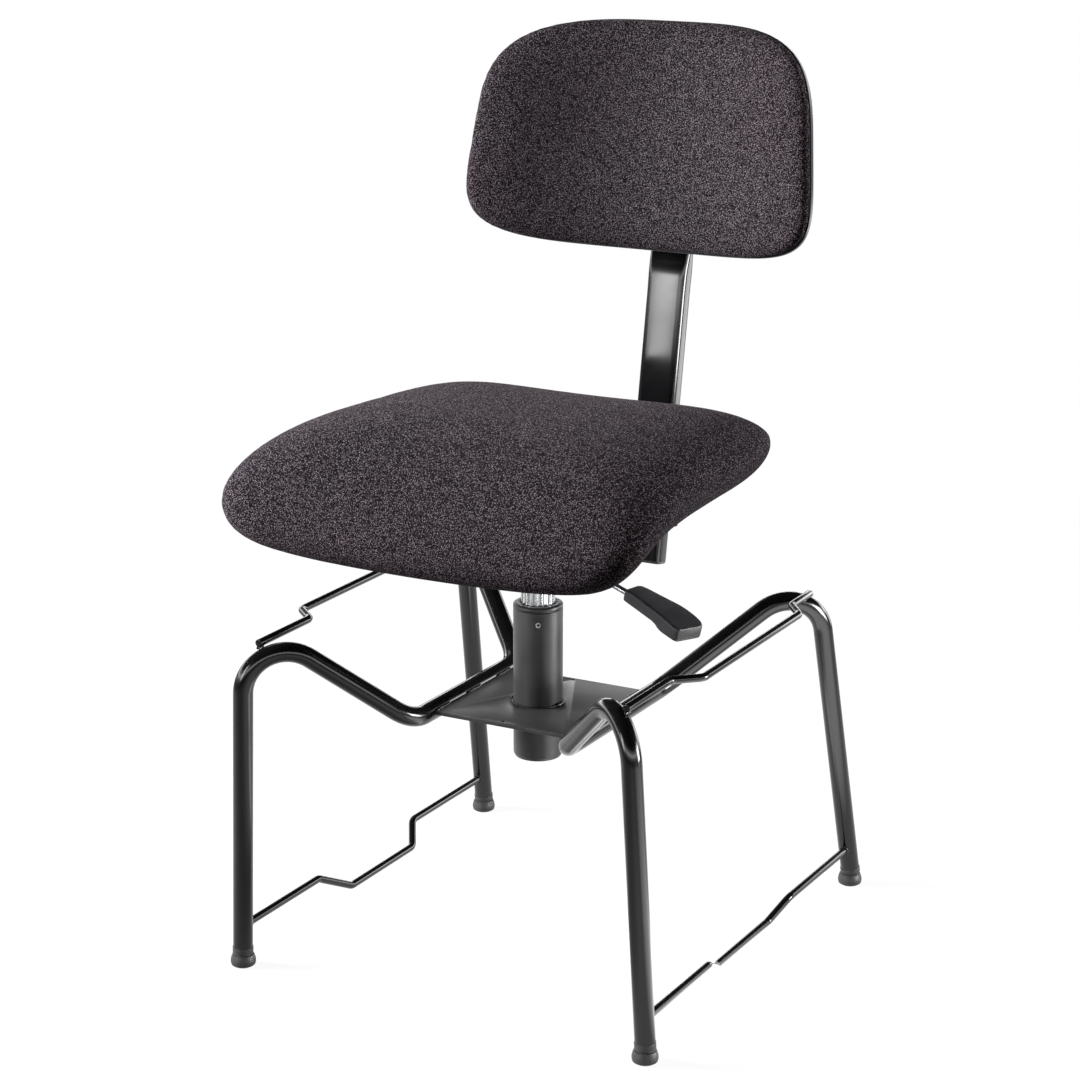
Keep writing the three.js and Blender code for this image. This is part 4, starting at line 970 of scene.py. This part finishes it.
# Cross-sections along the paddle: (distance, near half width, far half width, bottom, top). The hand's hook
# hangs under its outer third, where the top bends down and the far corner is broadly rounded.
paddleSections = [
    (0, 6.5, 5, -3, 4.2), (0.6, 8.6, 7.6, -4, 6.6), (2, 9.8, 10.4, -4.5, 8), (5, 10.3, 12.6, -4.6, 8.6),
    (12, 11.2, 13.8, -4.7, 8.7), (30, 13.8, 15.8, -4.9, 8.3), (44, 15.8, 17.8, -5.1, 7.9),
    (49, 16.5, 18.4, -6.2, 7.7), (53, 17, 18.8, -8.2, 7.4), (57, 17.5, 19, -9.2, 7),
    (62, 18.1, 19.1, -9.5, 6.4), (67, 18.7, 18.9, -9.5, 5.8), (72, 19.2, 18.2, -9.5, 5.3),
    (76, 19.5, 17.2, -9.5, 4.9), (79, 19.7, 16, -9.5, 4.7), (81.5, 19.6, 14.4, -9.5, 4.5),
    (83.4, 19.2, 12.6, -9.4, 4.3), (84.6, 18.6, 10.8, -9.1, 4), (85.2, 17.6, 8.8, -8.5, 3.4),
]


def leverPaddle():
    rings = []
    for distance, near, far, bottom, top in paddleSections:
        middle, half, tall = (far - near) / 2, (far + near) / 2, (top - bottom) / 2
        corner = min(paddle["corner"], tall * 0.75, half * 0.75)
        slant = paddle["slant"] * smoothShare(distance, paddle["slantFrom"], paddle["slantTo"])
        along = paddle["root"] + distance
        rings.append([
            Vector((along - slant * (0.5 - y / (far + near)), y + middle, z + (top + bottom) / 2))
            for y, z in roundedOutline(2 * half, 2 * tall, corner, 10)])
    addPiece("lever_paddle", skin(rings), paddlePlastic, "lever", leverTurn,
             smooth=50)


leverRod()
leverPaddle()
print("lever made")


# Pieces that keep their own solid get softer edges and a real finish.
def dressNode(name, material, bevel, smooth):
    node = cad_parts[name]
    node.data.materials.clear()
    node.data.materials.append(material)
    weld = node.modifiers.new("joinFaces", "WELD")
    weld.merge_threshold = 1e-5
    if bevel:
        edge = node.modifiers.new("softEdge", "BEVEL")
        edge.width = bevel / 1000
        edge.segments = 2
        edge.limit_method = "ANGLE"
        edge.angle_limit = math.radians(smooth)
    node.data.shade_smooth()
    node.data.set_sharp_from_angle(angle=math.radians(smooth))


for nodeName, material, bevel, smooth in (
        ("mechanism_housing", powderSatin, 0.8, 25), ("seat_plate", powderSatin, 0.5, 25),
        ("rear_arm", powderSatin, 0.6, 25), ("column_floor", zincPlate, 0, 30),
        ("piston_rod", zincPlate, 0, 30), ("rod_washer", zincPlate, 0.2, 30),
        ("rod_clip", zincPlate, 0.2, 30), ("gas_cylinder", powderSatin, 0, 30),
        ("valve_button", footPlastic, 0, 30), ("lever_bush", bushPlastic, 0, 30)):
    dressNode(nodeName, material, bevel, smooth)


# Seen straight on, the room is white. Mirrored in the gloss it is white up to the top of the paper sweep,
# brightest in a strip of lamps along the sweep's upper edge, and black above. That draws the bright line
# along each tube.
roomLook = {"strip": 4.5, "fill": 0.05, "levels": [
    (0, "#7c7c7c"), (0.07, "#7c7c7c"), (0.1, "#ffffff"), (0.175, "#ffffff"), (0.21, "#969696"),
    (0.27, "#929292"), (0.32, "#141414"), (1, "#0c0c0c")]}


def makeWorld(look):
    world = bpy.data.worlds.new("paleStudio")
    tree = emptyTree(world)
    rays = addNode(tree, "LightPath")
    direction = addNode(tree, "SeparateXYZ", {0: addNode(tree, "TexCoord").outputs["Generated"]})
    mirrored = addNode(tree, "ValToRGB", {0: direction.outputs["Z"]}, look["levels"])
    shown = addNode(tree, "Background", {"Color": white, "Strength": look["fill"]})
    gloss = addNode(tree, "Background", {"Color": mirrored, "Strength": look["strip"]})
    seen = addNode(tree, "Background", {"Color": white, "Strength": 1})
    for ray, light in (("Is Glossy Ray", gloss), ("Is Transmission Ray", seen), ("Is Camera Ray", seen)):
        shown = addNode(tree, "MixShader", {0: rays.outputs[ray], 1: shown, 2: light})
    addNode(tree, "OutputWorld", {"Surface": shown})
    bpy.context.scene.world = world


# White paper. Near the chair it keeps a faint shadow, and further out it fades to plain white. Mirrored in
# the gloss it falls off towards the dark part of the room, with one dark stripe ahead and one lit stretch on
# the right.
floorLook = {"near": 0.93, "nearTo": 0.7, "farFrom": 1.9, "paper": 0.93, "bounce": 0.15, "mirrored": 1.1,
             "darkFrom": 0.7, "darkTo": 2.0, "darkest": 0.2, "stripeAngle": -12, "stripe": 0.4,
             "brightAngle": 84, "bright": 3.0}


def makeFloor(look):
    material = bpy.data.materials.new("paleFloor")
    tree = emptyTree(material)
    rays = addNode(tree, "LightPath")
    place = addNode(tree, "TexCoord").outputs["Object"]
    away = addNode(tree, "VectorMath", {0: place}, operation="LENGTH").outputs["Value"]

    def towards(degrees, low, high, most):
        ahead = (math.sin(math.radians(degrees)), -math.cos(math.radians(degrees)), 0)
        along = addNode(tree, "VectorMath", {0: place, 1: ahead}, operation="DOT_PRODUCT").outputs["Value"]
        cosine = addNode(tree, "Math", {0: along, 1: away}, operation="DIVIDE")
        return addNode(tree, "MapRange", {0: cosine, 1: low, 2: high, 3: 1, 4: most})

    fade = addNode(tree, "MapRange", {0: away, 1: look["nearTo"], 2: look["farFrom"], 3: look["near"], 4: 1})
    visible = addNode(tree, "Math", {
        0: rays.outputs["Is Camera Ray"], 1: rays.outputs["Is Transmission Ray"]}, operation="MAXIMUM")
    amount = addNode(tree, "Math", {0: visible, 1: fade}, operation="MULTIPLY")
    paper = addNode(tree, "MapRange", {
        0: rays.outputs["Is Diffuse Ray"], 3: look["paper"], 4: look["bounce"]})
    matt = addNode(tree, "BsdfDiffuse", {"Color": paper})
    pale = addNode(tree, "Emission", {"Color": white, "Strength": 1})
    mix = addNode(tree, "MixShader", {0: amount, 1: matt, 2: pale})
    strength = addNode(tree, "MapRange", {
        0: away, 1: look["darkFrom"], 2: look["darkTo"], 3: look["mirrored"], 4: look["darkest"]})
    for share in (towards(look["stripeAngle"], 0.75, 1, look["stripe"]),
                  towards(look["brightAngle"], 0.85, 0.97, look["bright"])):
        strength = addNode(tree, "Math", {0: strength, 1: share}, operation="MULTIPLY")
    mirrored = addNode(tree, "Emission", {"Color": white, "Strength": strength})
    mix = addNode(tree, "MixShader", {0: rays.outputs["Is Glossy Ray"], 1: mix, 2: mirrored})
    addNode(tree, "OutputMaterial", {"Surface": mix})
    mesh = bmesh.new()
    bmesh.ops.create_grid(mesh, x_segments=1, y_segments=1, size=14)
    floor = meshObject("floor", mesh, Matrix())
    floor.data.materials.append(material)


def softBox(name, centre, target, size, power, lights=True, mirrored=True):
    data = bpy.data.lights.new(name, "AREA")
    data.shape = "RECTANGLE"
    data.size, data.size_y = size
    data.energy = power
    light = addObject(name, data)
    light.location = centre
    light.rotation_euler = (Vector(target) - Vector(centre)).to_track_quat("-Z", "Y").to_euler()
    light.visible_camera = False
    light.visible_diffuse = lights
    light.visible_glossy = mirrored


makeWorld(roomLook)
makeFloor(floorLook)
softBox("keyLeft", (-2.12, -1.03, 1.18), (0, 0, 0.6), (0.9, 1.0), 240, mirrored=False)
softBox("rimRight", (1.92, 1.11, 1.5), (0, 0, 0.6), (0.9, 0.9), 65, mirrored=False)
softBox("stripFrontLeft", (-1.12, -2.13, 0.8), (0, 0.2, 0.62), (0.5, 0.9), 12, lights=False)
softBox("boxBackLeft", (-1.9, 1.2, 1.9), (0, 0, 0.55), (1.1, 0.9), 3)
softBox("boxRight", (1.9, 0.6, 0.45), (0.2, 0, 0.45), (0.8, 0.7), 50, lights=False)
softBox("boxBackRight", (0.62, 1.3, 0.35), (0, 0.2, 0.6), (0.5, 0.5), 3, lights=False)

view = {"place": (1290.2, -2350.2, 1181.6), "towards": (-0.46238, 0.84406, -0.27159), "lens": 93.5,
        "shift": 0.5 / 1080}
cameraData = bpy.data.cameras.new("camera")
cameraData.sensor_width = 36
cameraData.lens = view["lens"]
cameraData.shift_x, cameraData.shift_y = -view["shift"], view["shift"]
cameraData.clip_start, cameraData.clip_end = 0.05, 60
camera = addObject("camera", cameraData)
camera.location = metres(*view["place"])
camera.rotation_euler = Vector(view["towards"]).to_track_quat("-Z", "Y").to_euler()
bpy.context.scene.camera = camera
bpy.context.scene.view_settings.view_transform = "Standard"
